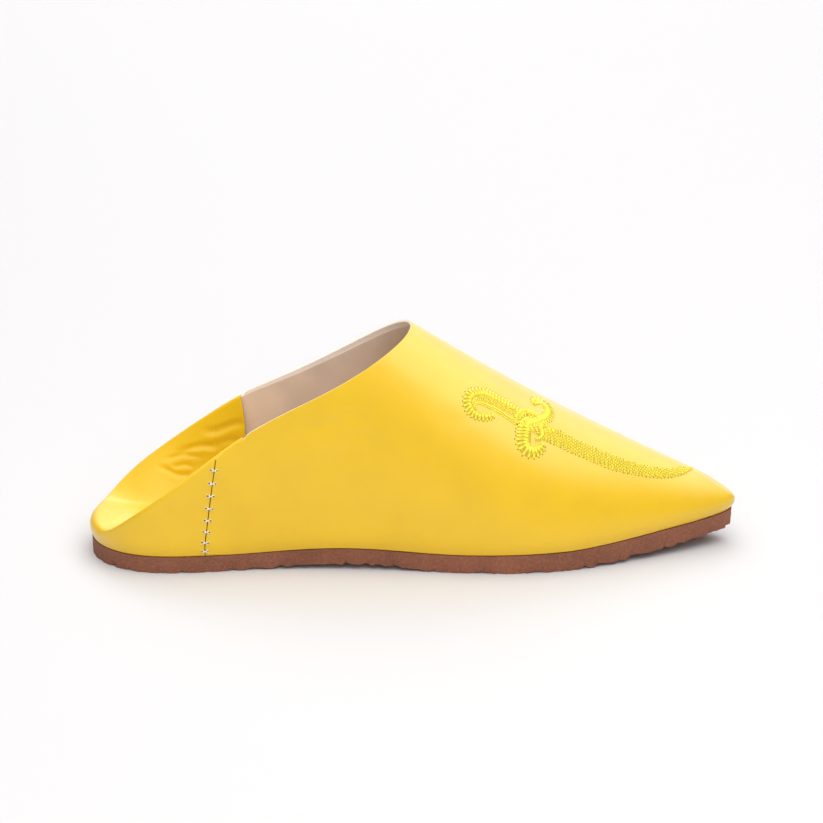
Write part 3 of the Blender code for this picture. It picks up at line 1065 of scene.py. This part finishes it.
def build_outsole(context):
    """The crepe sheet with its chipped lower edge and crinkled underside."""
    sizes, colours = settings(context)
    turns = ring_turns(SOLE_COLUMNS)
    reach = reach_at(turns)
    set_in = SOLE_INSET + toe_tuck(turns)
    edge = inward(turns, set_in)
    bite = sum(depth * rough(edge, size, seed) for depth, size, seed in BITES)
    bite = np.clip(bite + BITTEN, 0, 1)
    chips = sizes.chips / MM * bite
    rows = []
    for inset in (reach, (reach + set_in) / 2):
        plan = inward(turns, inset)
        rows.append(lift(plan, bed_at(plan[..., 0]) + SOLE_CLOSE))
    low = ground_at(edge[..., 0]) + chips
    high = bed_at(edge[..., 0]) + SOLE_CLOSE
    for down in np.linspace(0, 1, SOLE_SIDE_ROWS):
        depth, size, seed = SIDE_WEAR
        worn = depth * rough(edge + WEAR_SHIFT * down, size, seed) * math.sin(math.pi * down)
        plan = inward(turns, set_in + worn + SIDE_SLOPE * down + CHIP_SLOPE * chips * down**3)
        rows.append(lift(plan, high + (low - high) * down))
    for in_share in np.linspace(0, 1, SOLE_FLAT_ROWS + 1)[1:]:
        under = set_in + UNDER_INSET + chips
        inset = under + (reach - under) * in_share
        plan = inward(turns, inset)
        wave = 0.5 + 0.5 * rough(plan, *CRINKLES)
        rows.append(lift(plan, ground_at(plan[..., 0]) + sizes.crinkle / MM * wave**2))
    piece = cut_sheet("crepe_outsole", np.stack(rows), [crepe_rubber(colours)])
    finish(piece, ["outsole"])


# Sock: its inset, more of it round the toe, and its rounded edge, hollow and dents by depth, size
# and seed. Its rim and underside lie this far in from the inset and below the foot bed.
SOCK_INSET = 3.4
SOCK_TOE = (7.0, 12)
SOCK_ROWS = 15
SOCK_ROUND = 0.5
SOCK_HOLLOW = 0.5
SOCK_DENTS = (0.12, 18.0, 2.2)
SOCK_UNDER = ((0.0, 0.4), (0.0, 1.1), (6.0, 1.3))
SOCK_TINT = 0.92


def build_sock(context):
    """The sock over the foot bed, a little hollowed by wear."""
    _, colours = settings(context)
    turns = ring_turns(SOCK_COLUMNS)
    reach = reach_at(turns)
    at_toe, power = SOCK_TOE
    rim = SOCK_INSET + at_toe * ((1 - np.cos(turns)) / 2)**power
    dent, size, seed = SOCK_DENTS
    rows = []
    for share in np.linspace(0, 1, SOCK_ROWS):
        plan = inward(turns, reach + (rim + SOCK_ROUND - reach) * share)
        hollow = SOCK_HOLLOW * np.cos(share * math.pi / 2) + dent * rough(plan, size, seed)
        rows.append(lift(plan, sock_at(plan[..., 0]) - hollow))
    under = [(rim + further, drop) for further, drop in SOCK_UNDER]
    for inset, drop in (*under, (reach, under[-1][1])):
        plan = inward(turns, inset)
        rows.append(lift(plan, sock_at(plan[..., 0]) - drop))
    material = lining_leather(colours, "sock leather", SOCK_TINT)
    piece = cut_sheet("leather_sock", np.stack(rows), [material])
    finish(piece, ["insole"])


# Stitching

def ball_pattern(segments, rings):
    """Corners, faces and UVs of one round ball of radius one, to be drawn out into a stitch."""
    bpy.ops.object.select_all(action="DESELECT")
    bpy.ops.mesh.primitive_uv_sphere_add(segments=segments, ring_count=rings, radius=1)
    ball = bpy.context.object
    mesh = ball.data
    corners = np.array([vertex.co for vertex in mesh.vertices])
    faces = [tuple(face.vertices) for face in mesh.polygons]
    uvs = np.array([item.uv for item in mesh.uv_layers.active.data])
    bpy.data.objects.remove(ball, do_unlink=True)
    bpy.data.meshes.remove(mesh)
    return corners, faces, uvs


def copies(name, pattern, placed, material):
    """One mesh of many copies of a pattern, each with its own corner places."""
    corners, faces, uvs = pattern
    count = len(corners)
    all_faces = [tuple(i * count + corner for corner in face)
                 for i in range(len(placed)) for face in faces]
    mesh = bpy.data.meshes.new(name)
    mesh.from_pydata((placed.reshape(-1, 3) * MM).tolist(), [], all_faces)
    layer = mesh.uv_layers.new(name="UVMap")
    layer.data.foreach_set("uv", np.tile(uvs, (len(placed), 1)).ravel())
    mesh.materials.append(material)
    piece = bpy.data.objects.new(name, mesh)
    bpy.context.scene.collection.objects.link(piece)
    return piece


# How square the ends of a stitch are, and how deep they dive, in thread diameters
BLUNT = 0.45
DIVE = 0.45


def drawn_threads(pattern, starts, middles, ends, normals, thickness, proud):
    """Corner places of threads that dive into the leather at both ends and stand proud of it
    between them."""
    corners = pattern[0]
    along = (corners[:, 2] + 1) / 2
    round_part = np.maximum(length_of(corners[:, :2])[..., 0], 1e-6)
    full = round_part**BLUNT
    cross = corners[:, :2] / round_part[:, None] * full[:, None]
    weights = ((1 - along) * (1 - 2 * along), 4 * along * (1 - along), along * (2 * along - 1))
    path = sum(weight[None, :, None] * point[:, None, :]
               for weight, point in zip(weights, (starts, middles, ends)))
    sideways = unit(np.cross(ends - starts, normals))
    arch = 1 - np.abs(2 * along - 1)**3
    height = thickness * (-DIVE + (proud + DIVE) * arch)
    offset = (cross[None, :, :1] * sideways[:, None, :] + cross[None, :, 1:] * normals[:, None, :])
    return path + offset * thickness / 2 + height[None, :, None] * normals[:, None, :]


def surface_of(*names):
    """A tree for finding places on finished pieces."""
    corners, faces = [], []
    for name in names:
        mesh = bpy.data.objects[name].data
        first = len(corners)
        corners += [vertex.co.copy() for vertex in mesh.vertices]
        faces += [tuple(first + corner for corner in face.vertices) for face in mesh.polygons]
    return BVHTree.FromPolygons(corners, faces)


# Cross stitches of a side seam: how many, the height of the lowest and the highest, how much
# wider apart they get upwards, the reach of their arms across and along the seam, how far out the
# needle holes lie, how far the middle of an arm is lifted, and how proud it stands, in diameters
CROSSES = 8
CROSS_LOW = 9.6
CROSS_HIGH = 44.2
CROSS_SPREAD = 1.12
CROSS_ACROSS = 1.62
CROSS_ALONG = 0.76
CROSS_HOLE = 1.15
CROSS_LIFT = 0.12
CROSS_PROUD = 0.45

# Needle holes: their radius in the seams, and how high their domes stand in radii
HOLE_RADIUS = 0.42
HOLE_HEIGHT = 0.18


def seam_places(side):
    """Where the crosses sit on the seam line, and which way the seam runs there."""
    shares = (np.arange(CROSSES) / (CROSSES - 1))**CROSS_SPREAD
    heights = CROSS_LOW + (CROSS_HIGH - CROSS_LOW) * shares
    foot, top = turn_of(SEAM_FOOT), turn_of(SEAM_TOP)
    up = np.linspace(0, 1, LINE_STEPS)
    turns = foot + (top - foot) * up
    line = wall(side * turns, rise_at(side * turns) * up)
    places, above = (interpolate(at, line[:, 2], line) for at in (heights, heights + 1))
    return places, unit(above - places)


def landed(tree, places, outward):
    """The nearest places on the leather, and its normals there, facing outward."""
    hits, normals = [], []
    for place in places:
        hit, normal, _, _ = tree.find_nearest(Vector(place * MM))
        hits.append(np.array(hit) / MM)
        normals.append(np.array(normal))
    normals = np.array(normals)
    flip = np.sum(normals * outward, axis=-1, keepdims=True) < 0
    return np.array(hits), np.where(flip, -normals, normals)


def build_side_stitches(context):
    """Cream cross stitches over both side seams, and the holes that they go through."""
    sizes, colours = settings(context)
    tree = surface_of("upper_leather", "back_quarter_leather")
    hand = random.Random(4)
    threads, holes = [], []
    for side in (1, -1):
        outward = np.array([0.0, -side, 0.0])
        places, along = seam_places(side)
        for place, up in zip(places, along):
            across = unit(np.cross(outward, up))
            for diagonal in (1, -1):
                swing = np.array([hand.uniform(0.85, 1.12), hand.uniform(0.85, 1.15)])
                arm = across * CROSS_ACROSS * swing[0] + up * CROSS_ALONG * swing[1] * diagonal
                ends, normals = landed(tree, [place - arm, place + arm], outward)
                threads.append((ends[0], ends[1], normals.mean(axis=0)))
            reach = across * CROSS_HOLE
            holes += zip(*landed(tree, [place - reach, place + reach], outward))
    starts, ends, normals = (np.array(column) for column in zip(*threads))
    normals = unit(normals)
    middles = (starts + ends) / 2 + normals * CROSS_LIFT
    pattern = ball_pattern(8, 10)
    thickness = sizes.cross_thread / MM
    placed = drawn_threads(pattern, starts, middles, ends, normals, thickness, CROSS_PROUD)
    material = twisted_thread("waxed thread", tuple(colours.cross), 0.55, 5.0)
    finish(copies("side_seam_stitches", pattern, placed, material))
    build_holes("side_seam_holes", holes, HOLE_RADIUS, colours)


def build_holes(name, holes, radius, colours):
    """Small hollows round the ends of stitches, shown as low domes in painted shade."""
    pattern = ball_pattern(8, 4)
    centres = np.array([place for place, _ in holes])
    normals = unit(np.array([normal for _, normal in holes]))
    helper = np.where(np.abs(normals[:, :1]) < 0.7, [[1.0, 0.0, 0.0]], [[0.0, 1.0, 0.0]])
    first = unit(np.cross(normals, helper))
    second = np.cross(normals, first)
    corners = pattern[0]
    placed = (centres[:, None, :]
              + radius * corners[None, :, :1] * first[:, None, :]
              + radius * corners[None, :, 1:2] * second[:, None, :]
              + HOLE_HEIGHT * radius * corners[None, :, 2:] * normals[:, None, :])
    material = shared("needle hole", lambda: hole_shade_material(colours))
    finish(copies(name, pattern, placed, material))


# Embroidered dagger. It is drawn flat, in millimetres along and across it from the middle of its
# guard, on a plane that faces the outer side of the vamp, and laid on the leather from there.
DAGGER_MIDDLE = np.array([48.0, -18.4, 60.7])
DAGGER_FACING = np.array([0.381, -0.552, 0.742])
DAGGER_ALONG = np.array([0.922, 0.170, -0.347])
DAGGER_ACROSS = np.cross(DAGGER_FACING, DAGGER_ALONG)
DRAWING_LIFT = 60.0

# Bands of stitches: places on the middle of the band, and half its width there.
#    along  across half
GRIP_BACK = (
    (-4.6, 1.0, 1.9),
    (-9.2, 2.8, 2.0),
    (-14.0, 4.2, 2.1),
    (-18.5, 5.2, 2.3),
    (-22.6, 5.8, 2.4),
    (-26.2, 4.4, 2.4),
    (-28.8, 2.0, 2.4),
    (-29.2, -0.8, 2.3),
    (-27.8, -3.6, 2.2),
    (-25.2, -5.5, 2.0),
    (-22.2, -5.8, 1.9),
    (-19.4, -5.2, 1.7),
    (-17.9, -4.4, 1.2),
)
GRIP_MIDDLE = (
    (-6.5, -1.8, 1.6),
    (-12.0, 0.6, 1.7),
    (-18.0, 1.7, 1.5),
    (-22.6, 2.2, 1.4),
    (-25.6, 0.9, 1.0),
)
GRIP_FRONT = (
    (-7.4, -5.2, 1.2),
    (-12.0, -3.1, 1.3),
    (-17.0, -1.2, 1.3),
    (-21.5, -0.4, 1.2),
    (-24.6, -0.2, 1.1),
    (-26.4, -1.6, 0.9),
    (-25.6, -3.0, 0.7),
)
GUARD_TOP = (
    (1.6, 9.6, 1.4),
    (2.6, 12.0, 2.6),
    (5.0, 13.8, 3.2),
    (7.4, 13.2, 3.6),
    (8.3, 10.4, 3.2),
    (7.9, 6.4, 3.0),
    (5.8, 2.8, 2.9),
    (2.6, -0.2, 2.9),
    (-1.4, -3.4, 2.6),
)
GUARD_FOOT = (
    (-1.8, -1.8, 2.4),
    (-3.4, -4.8, 3.4),
    (-3.6, -8.6, 3.8),
    (-3.3, -12.0, 3.7),
    (-1.4, -15.0, 3.4),
    (1.6, -15.3, 3.0),
    (4.2, -13.3, 2.4),
    (5.2, -11.6, 1.4),
)
GUARD_CORE = (
    (-6.0, -3.4, 2.6),
    (-2.0, -2.2, 4.2),
    (2.0, -3.4, 4.6),
    (5.6, -5.2, 4.4),
)
GUARD_ARCH = (
    (-7.2, -4.6, 1.3),
    (-6.3, -0.8, 1.7),
    (-3.8, 2.0, 1.8),
    (-0.2, 3.1, 1.8),
    (3.2, 2.0, 1.5),
)
GUARD_CROSS = (
    (-3.6, -3.0, 1.2),
    (-0.6, -0.6, 1.5),
    (2.6, -1.6, 1.6),
    (4.6, -4.6, 1.7),
    (4.4, -8.0, 1.5),
    (1.8, -10.0, 1.1),
)
BLADE = (
    (5.6, -5.2, 4.0),
    (8.6, -5.4, 4.6),
    (13.0, -6.1, 4.5),
    (20.0, -7.5, 4.1),
    (27.0, -8.4, 4.0),
    (35.0, -9.2, 4.0),
    (43.0, -9.2, 3.5),
    (50.0, -8.6, 3.1),
    (58.0, -7.1, 2.8),
    (65.0, -4.5, 2.6),
    (70.0, -1.5, 2.2),
    (74.0, 1.6, 1.3),
    (76.8, 4.1, 0.5),
)

# Each band: its table, whether its stitches are a fan, satin or filling, their pitch and slant,
# and how high they are padded, in thread diameters. Bands that lie over others come later.
BANDS = (
    (BLADE, "filling", 0.95, -0.15, 0.0),
    (GRIP_MIDDLE, "filling", 0.95, 0.5, 0.0),
    (GUARD_CORE, "filling", 0.95, 0.8, 0.0),
    (GRIP_BACK, "fan", 1.45, 0.15, 0.1),
    (GRIP_FRONT, "satin", 0.85, 0.8, 0.2),
    (GUARD_FOOT, "fan", 1.4, 0.1, 0.15),
    (GUARD_TOP, "fan", 1.4, 0.1, 0.2),
    (GUARD_CROSS, "satin", 0.85, 0.5, 0.4),
    (GUARD_ARCH, "satin", 0.85, -0.4, 0.4),
)


def walk_along(rows):
    """How far along a line of places each of them lies."""
    steps = np.linalg.norm(np.diff(rows[:, :2], axis=0), axis=1)
    return np.concatenate([[0], np.cumsum(steps)])


def band_curve(band):
    """Middle and half-width of a band at many even steps, and its sideways direction."""
    rows = np.array(band)
    walked = walk_along(rows)
    curves = [natural_cubic(walked, rows[:, i]) for i in range(3)]
    fine = np.linspace(0, walked[-1], BAND_STEPS)
    drawn = np.stack([curve(fine) for curve in curves], axis=-1)
    return drawn, walk_along(drawn)


def along_band(band, pitch):
    """Places at an even pitch on a band, with the way along it, the way across and half-widths."""
    drawn, walked = band_curve(band)
    count = max(2, int(round(walked[-1] / pitch)) + 1)
    at = np.linspace(0, walked[-1], count)
    rows = interpolate(at, walked, drawn)
    forward = unit(interpolate(at, walked, np.gradient(drawn[:, :2], axis=0)))
    across = np.stack([-forward[:, 1], forward[:, 0]], axis=-1)
    return rows[:, :2], forward, across, rows[:, 2]


# How far the two threads of a pair spread at the band's inner side, in pitches, how much of that is
# left at their shared hole, and how far the hole lies back from their ends. A filling's stitch
# shorter than this share of the full length is left out.
PAIR_SPREAD = 0.25
PAIR_GATHER = 0.35
HOLE_BACK = 0.05
SHORTEST = 0.3


def satin(band, pitch, slant, hand):
    """Stitches right across a band."""
    stitches = []
    for middle, ahead, aside, half in zip(*along_band(band, pitch)):
        lean = aside + ahead * (slant + hand.uniform(-0.08, 0.08))
        low, high = half * hand.uniform(0.9, 1.05), half * hand.uniform(0.9, 1.05)
        stitches.append((middle - lean * low, middle + lean * high))
    return stitches


def fan(band, pitch, slant, hand):
    """Pairs of stitches across a band. Each pair shares a needle hole on the outer side of its
    bend, and its threads spread apart from there. Returns the stitches and the holes."""
    stitches, holes = [], []
    middles, forward, across, halves = along_band(band, pitch)
    bends = np.gradient(forward, axis=0)
    outer = -1 if np.sum(bends * across) > 0 else 1
    for middle, ahead, aside, half in zip(middles, forward, across, halves):
        lean = aside * outer + ahead * (slant + hand.uniform(-0.06, 0.06))
        hole = middle + lean * half * hand.uniform(0.94, 1.06)
        for spread in (-PAIR_SPREAD, PAIR_SPREAD):
            step = ahead * pitch * (spread + hand.uniform(-0.06, 0.06))
            end = middle - lean * half * hand.uniform(0.86, 1.02) + step
            stitches.append((end, hole + step * PAIR_GATHER))
        holes.append(hole - lean * HOLE_BACK)
    return stitches, holes


def filling(band, pitch, length, slant, hand):
    """Short stitches in broken lines across a band, each line's joints off those beside it."""
    stitches = []
    middles, forward, across, halves = along_band(band, pitch)
    for i, (middle, ahead, aside, half) in enumerate(zip(middles, forward, across, halves)):
        lean = aside + ahead * (slant + hand.uniform(-0.12, 0.12))
        joints = np.arange(-half - length * (i % 3) / 3, half + length, length)
        joints = np.clip(joints + hand.uniform(-0.15, 0.15), -half, half)
        for low, high in zip(joints, joints[1:]):
            if high - low > SHORTEST * length:
                stitches.append((middle + lean * low, middle + lean * high))
    return stitches


def laid(tree, places):
    """Flat drawing places carried on to the leather, with the leather's normals there."""
    hits, normals = [], []
    for along, across in places:
        above = (DAGGER_MIDDLE + DAGGER_ALONG * along + DAGGER_ACROSS * across
                 + DAGGER_FACING * DRAWING_LIFT)
        hit, normal, _, _ = tree.ray_cast(Vector(above * MM), Vector(-DAGGER_FACING))
        if hit is None:
            raise RuntimeError(f"the drawing misses the leather at {along:.1f}, {across:.1f}")
        hits.append(np.array(hit) / MM)
        normals.append(np.array(normal))
    return np.array(hits), np.array(normals)


# Length of the filling's stitches, radius and pitch of the holes along the blade, and the pads of
# painted shade under the bands: rows, share of the band, rise, rise from one band to the next, and
# pitch
FILL_LENGTH = 1.5
RIM_HOLE = 0.31
GAP_SHADE_ROWS = 9
GAP_SHADE_SHARE = 0.92
GAP_SHADE_RISE = 0.1
GAP_SHADE_STEP = 0.3
GAP_SHADE_PITCH = 0.8
RIM_PITCH = 1.7
EMBROIDERY_PROUD = 0.4


def build_gap_shade(tree, colours):
    """Low pads of painted shade under the bands, darkening the gaps between the stitches, sunk into
    the leather along their edges.
    """
    across = np.linspace(-1, 1, GAP_SHADE_ROWS)
    for i, (band, *_) in enumerate(BANDS):
        middles, _, aside, halves = along_band(band, GAP_SHADE_PITCH)
        flat = (middles[None] + aside[None] * (across[:, None] * halves * GAP_SHADE_SHARE)[..., None])
        places, normals = laid(tree, flat.reshape(-1, 2))
        rise = np.where(np.abs(across) < 1, GAP_SHADE_RISE * (1 + GAP_SHADE_STEP * i), -GAP_SHADE_RISE)
        rise = np.repeat(rise, len(middles))[:, None]
        points = (places + normals * rise).reshape(GAP_SHADE_ROWS, len(middles), 3)
        material = shared("ground thread", lambda: gap_shade_material(colours))
        finish(cut_sheet(f"embroidery_ground_{i + 1}", points, [material]))


def build_embroidery(context):
    """The curved dagger in shiny thread: satin bands for grip and guard, filling for the blade."""
    sizes, colours = settings(context)
    tree = surface_of("upper_leather")
    hand = random.Random(11)
    flat, lifts, rim = [], [], []
    for band, kind, pitch, slant, padding in BANDS:
        if kind == "fan":
            made, holes = fan(band, pitch, slant, hand)
            rim += holes
        elif kind == "satin":
            made = satin(band, pitch, slant, hand)
        else:
            made = filling(band, pitch, FILL_LENGTH, slant, hand)
        flat += made
        lifts += [padding] * len(made)
    for side in (1, -1):
        rim += [middle + side * across * half * hand.uniform(0.93, 1.0)
                for middle, _, across, half in zip(*along_band(BLADE, RIM_PITCH))]
    starts, start_normals = laid(tree, [stitch[0] for stitch in flat])
    ends, end_normals = laid(tree, [stitch[1] for stitch in flat])
    middles, middle_normals = laid(tree, [(stitch[0] + stitch[1]) / 2 for stitch in flat])
    normals = unit(start_normals + middle_normals + end_normals)
    thickness = sizes.thread / MM
    middles = middles + normals * np.array(lifts)[:, None] * thickness
    pattern = ball_pattern(8, 8)
    placed = drawn_threads(pattern, starts, middles, ends, normals, thickness, EMBROIDERY_PROUD)
    material = twisted_thread("embroidery thread", tuple(colours.lemon), 0.42, 4.0,
                              sheen_weight=0.1)
    finish(copies("dagger_embroidery", pattern, placed, material))
    build_gap_shade(tree, colours)
    places, hole_normals = laid(tree, rim)
    build_holes("embroidery_holes", list(zip(places, hole_normals)), RIM_HOLE, colours)


# Studio

FLOOR_SIZE = 9.0
ROOM_COLOUR = (1.0, 0.99, 0.985, 1.0)
AIM = Vector((-1.2 * MM, 0.0, 58.4 * MM))
SENSOR = 36.0
VIEW_END = 20.0

# Each panel: its place, what it faces, its size in metres, whether it lights surfaces and whether
# it shows as a reflection in them
PANELS = {
    "top_softbox": ((0.3, -0.4, 1.4), (0.3, -0.4, 0.0), 2.4, True, True),
    "top_reflector": ((0.25, 0.2, 1.5), (0.25, 0.2, 0.0), 4.0, False, True),
    "back_reflector": ((0.4, 2.3, 1.3), (0.4, 0.0, 1.3), 3.0, False, True),
    "front_softbox": ((0.0, -1.8, 0.9), (0.0, 0.0, 0.0), 1.6, True, False),
    "back_softbox": ((0.0, 1.9, 1.5), (0.0, 1.7, 0.0), 1.8, True, True),
}


def add_panel(name, power, place, aim, size, lights, shines):
    """A square panel of light turned to a point."""
    bpy.ops.object.light_add(type="AREA", location=place)
    light = bpy.context.object
    light.name = name
    light.data.shape = "SQUARE"
    light.data.size = size
    light.data.energy = power
    light.rotation_euler = (Vector(aim) - Vector(place)).to_track_quat("-Z", "Y").to_euler()
    light.visible_camera = False
    light.visible_diffuse = lights
    light.visible_glossy = shines


def floor_material(colours):
    """Plain pale floor with the faintest unevenness."""
    material, tree, shader = new_material("studio floor", 0.7, specular_ior_level=0.0)
    tone = cloud(tree, millimetres(tree), 900.0)
    colour = ramp(tree, tone, (0.3, shade(colours.floor, 0.995)), (0.7, colours.floor))
    surface(tree, shader, colour)
    return material


def build_stage(context):
    """Floor, lights, room and camera."""
    colours, look = context.scene.babouche_colours, context.scene.babouche_look
    bpy.ops.object.select_all(action="DESELECT")
    bpy.ops.mesh.primitive_plane_add(size=FLOOR_SIZE, location=(0, 0, 0))
    floor = bpy.context.object
    floor.name = "studio_floor"
    floor.data.materials.append(floor_material(colours))
    for name, panel in PANELS.items():
        add_panel(name, getattr(look, name), *panel)
    world = bpy.data.worlds.new("white room")
    world.use_nodes = True
    background = world.node_tree.nodes["Background"]
    background.inputs["Color"].default_value = ROOM_COLOUR
    background.inputs["Strength"].default_value = look.sky
    context.scene.world = world
    context.scene.view_settings.view_transform = "Standard"
    forward = Vector((math.sin(look.swing) * math.cos(look.elevation),
                      math.cos(look.swing) * math.cos(look.elevation),
                      -math.sin(look.elevation)))
    bpy.ops.object.camera_add(location=AIM - forward * look.distance)
    camera = bpy.context.object
    camera.name = "photo_camera"
    camera.rotation_euler = forward.to_track_quat("-Z", "Y").to_euler()
    camera.data.sensor_width = SENSOR
    camera.data.lens = SENSOR * look.distance / look.field
    camera.data.clip_end = VIEW_END
    context.scene.camera = camera


# Operators

class Step:
    """What all steps share: each runs its builders in order."""

    builders = ()

    def execute(self, context):
        for build in self.builders:
            build(context)
        return {"FINISHED"}


class BABOUCHE_OT_upper(Step, bpy.types.Operator):
    """Cut, last and fold the vamp and quarters"""

    bl_idname = "babouche.upper"
    bl_label = "Upper"
    builders = (build_upper,)


class BABOUCHE_OT_lining(Step, bpy.types.Operator):
    """Line the upper, trimmed back from the collar"""

    bl_idname = "babouche.lining"
    bl_label = "Lining"
    builders = (build_lining,)


class BABOUCHE_OT_back_quarter(Step, bpy.types.Operator):
    """Make the heel piece and tread its back down"""

    bl_idname = "babouche.back_quarter"
    bl_label = "Back Quarter"
    builders = (build_back_quarter,)


class BABOUCHE_OT_bottom(Step, bpy.types.Operator):
    """Cut the crepe sole and the sock"""

    bl_idname = "babouche.bottom"
    bl_label = "Sole and Sock"
    builders = (build_outsole, build_sock)


class BABOUCHE_OT_side_stitches(Step, bpy.types.Operator):
    """Sew the side seams with cross stitches"""

    bl_idname = "babouche.side_stitches"
    bl_label = "Side Seams"
    builders = (build_side_stitches,)


class BABOUCHE_OT_embroidery(Step, bpy.types.Operator):
    """Embroider the curved dagger on the outer side"""

    bl_idname = "babouche.embroidery"
    bl_label = "Embroidery"
    builders = (build_embroidery,)


class BABOUCHE_OT_stage(Step, bpy.types.Operator):
    """Set up the floor, the light and the camera"""

    bl_idname = "babouche.stage"
    bl_label = "Studio"
    builders = (build_stage,)


class BABOUCHE_PT_sidebar(bpy.types.Panel):
    """The steps of making the slipper, and its sizes, colours and studio"""

    bl_label = "Babouche Slipper"
    bl_idname = "BABOUCHE_PT_sidebar"
    bl_space_type = "VIEW_3D"
    bl_region_type = "UI"
    bl_category = "Babouche"

    def draw(self, context):
        for step in STEPS:
            self.layout.operator(step.bl_idname)
        for group in (context.scene.babouche_sizes, context.scene.babouche_colours,
                      context.scene.babouche_look):
            box = self.layout.box()
            for name in group.__annotations__:
                box.prop(group, name)


STEPS = (
    BABOUCHE_OT_upper,
    BABOUCHE_OT_lining,
    BABOUCHE_OT_back_quarter,
    BABOUCHE_OT_bottom,
    BABOUCHE_OT_side_stitches,
    BABOUCHE_OT_embroidery,
    BABOUCHE_OT_stage,
)
GROUPS = (ShoeSizes, ShoeColours, StudioLook)


def register():
    for item in (*GROUPS, *STEPS, BABOUCHE_PT_sidebar):
        bpy.utils.register_class(item)
    bpy.types.Scene.babouche_sizes = PointerProperty(type=ShoeSizes)
    bpy.types.Scene.babouche_colours = PointerProperty(type=ShoeColours)
    bpy.types.Scene.babouche_look = PointerProperty(type=StudioLook)


def unregister():
    del bpy.types.Scene.babouche_look
    del bpy.types.Scene.babouche_colours
    del bpy.types.Scene.babouche_sizes
    for item in (BABOUCHE_PT_sidebar, *reversed(STEPS), *reversed(GROUPS)):
        bpy.utils.unregister_class(item)


def main():
    register()
    bpy.ops.babouche.upper()
    bpy.ops.babouche.lining()
    bpy.ops.babouche.back_quarter()
    bpy.ops.babouche.bottom()
    bpy.ops.babouche.side_stitches()
    bpy.ops.babouche.embroidery()
    bpy.ops.babouche.stage()


if __name__ == "__main__":
    main()
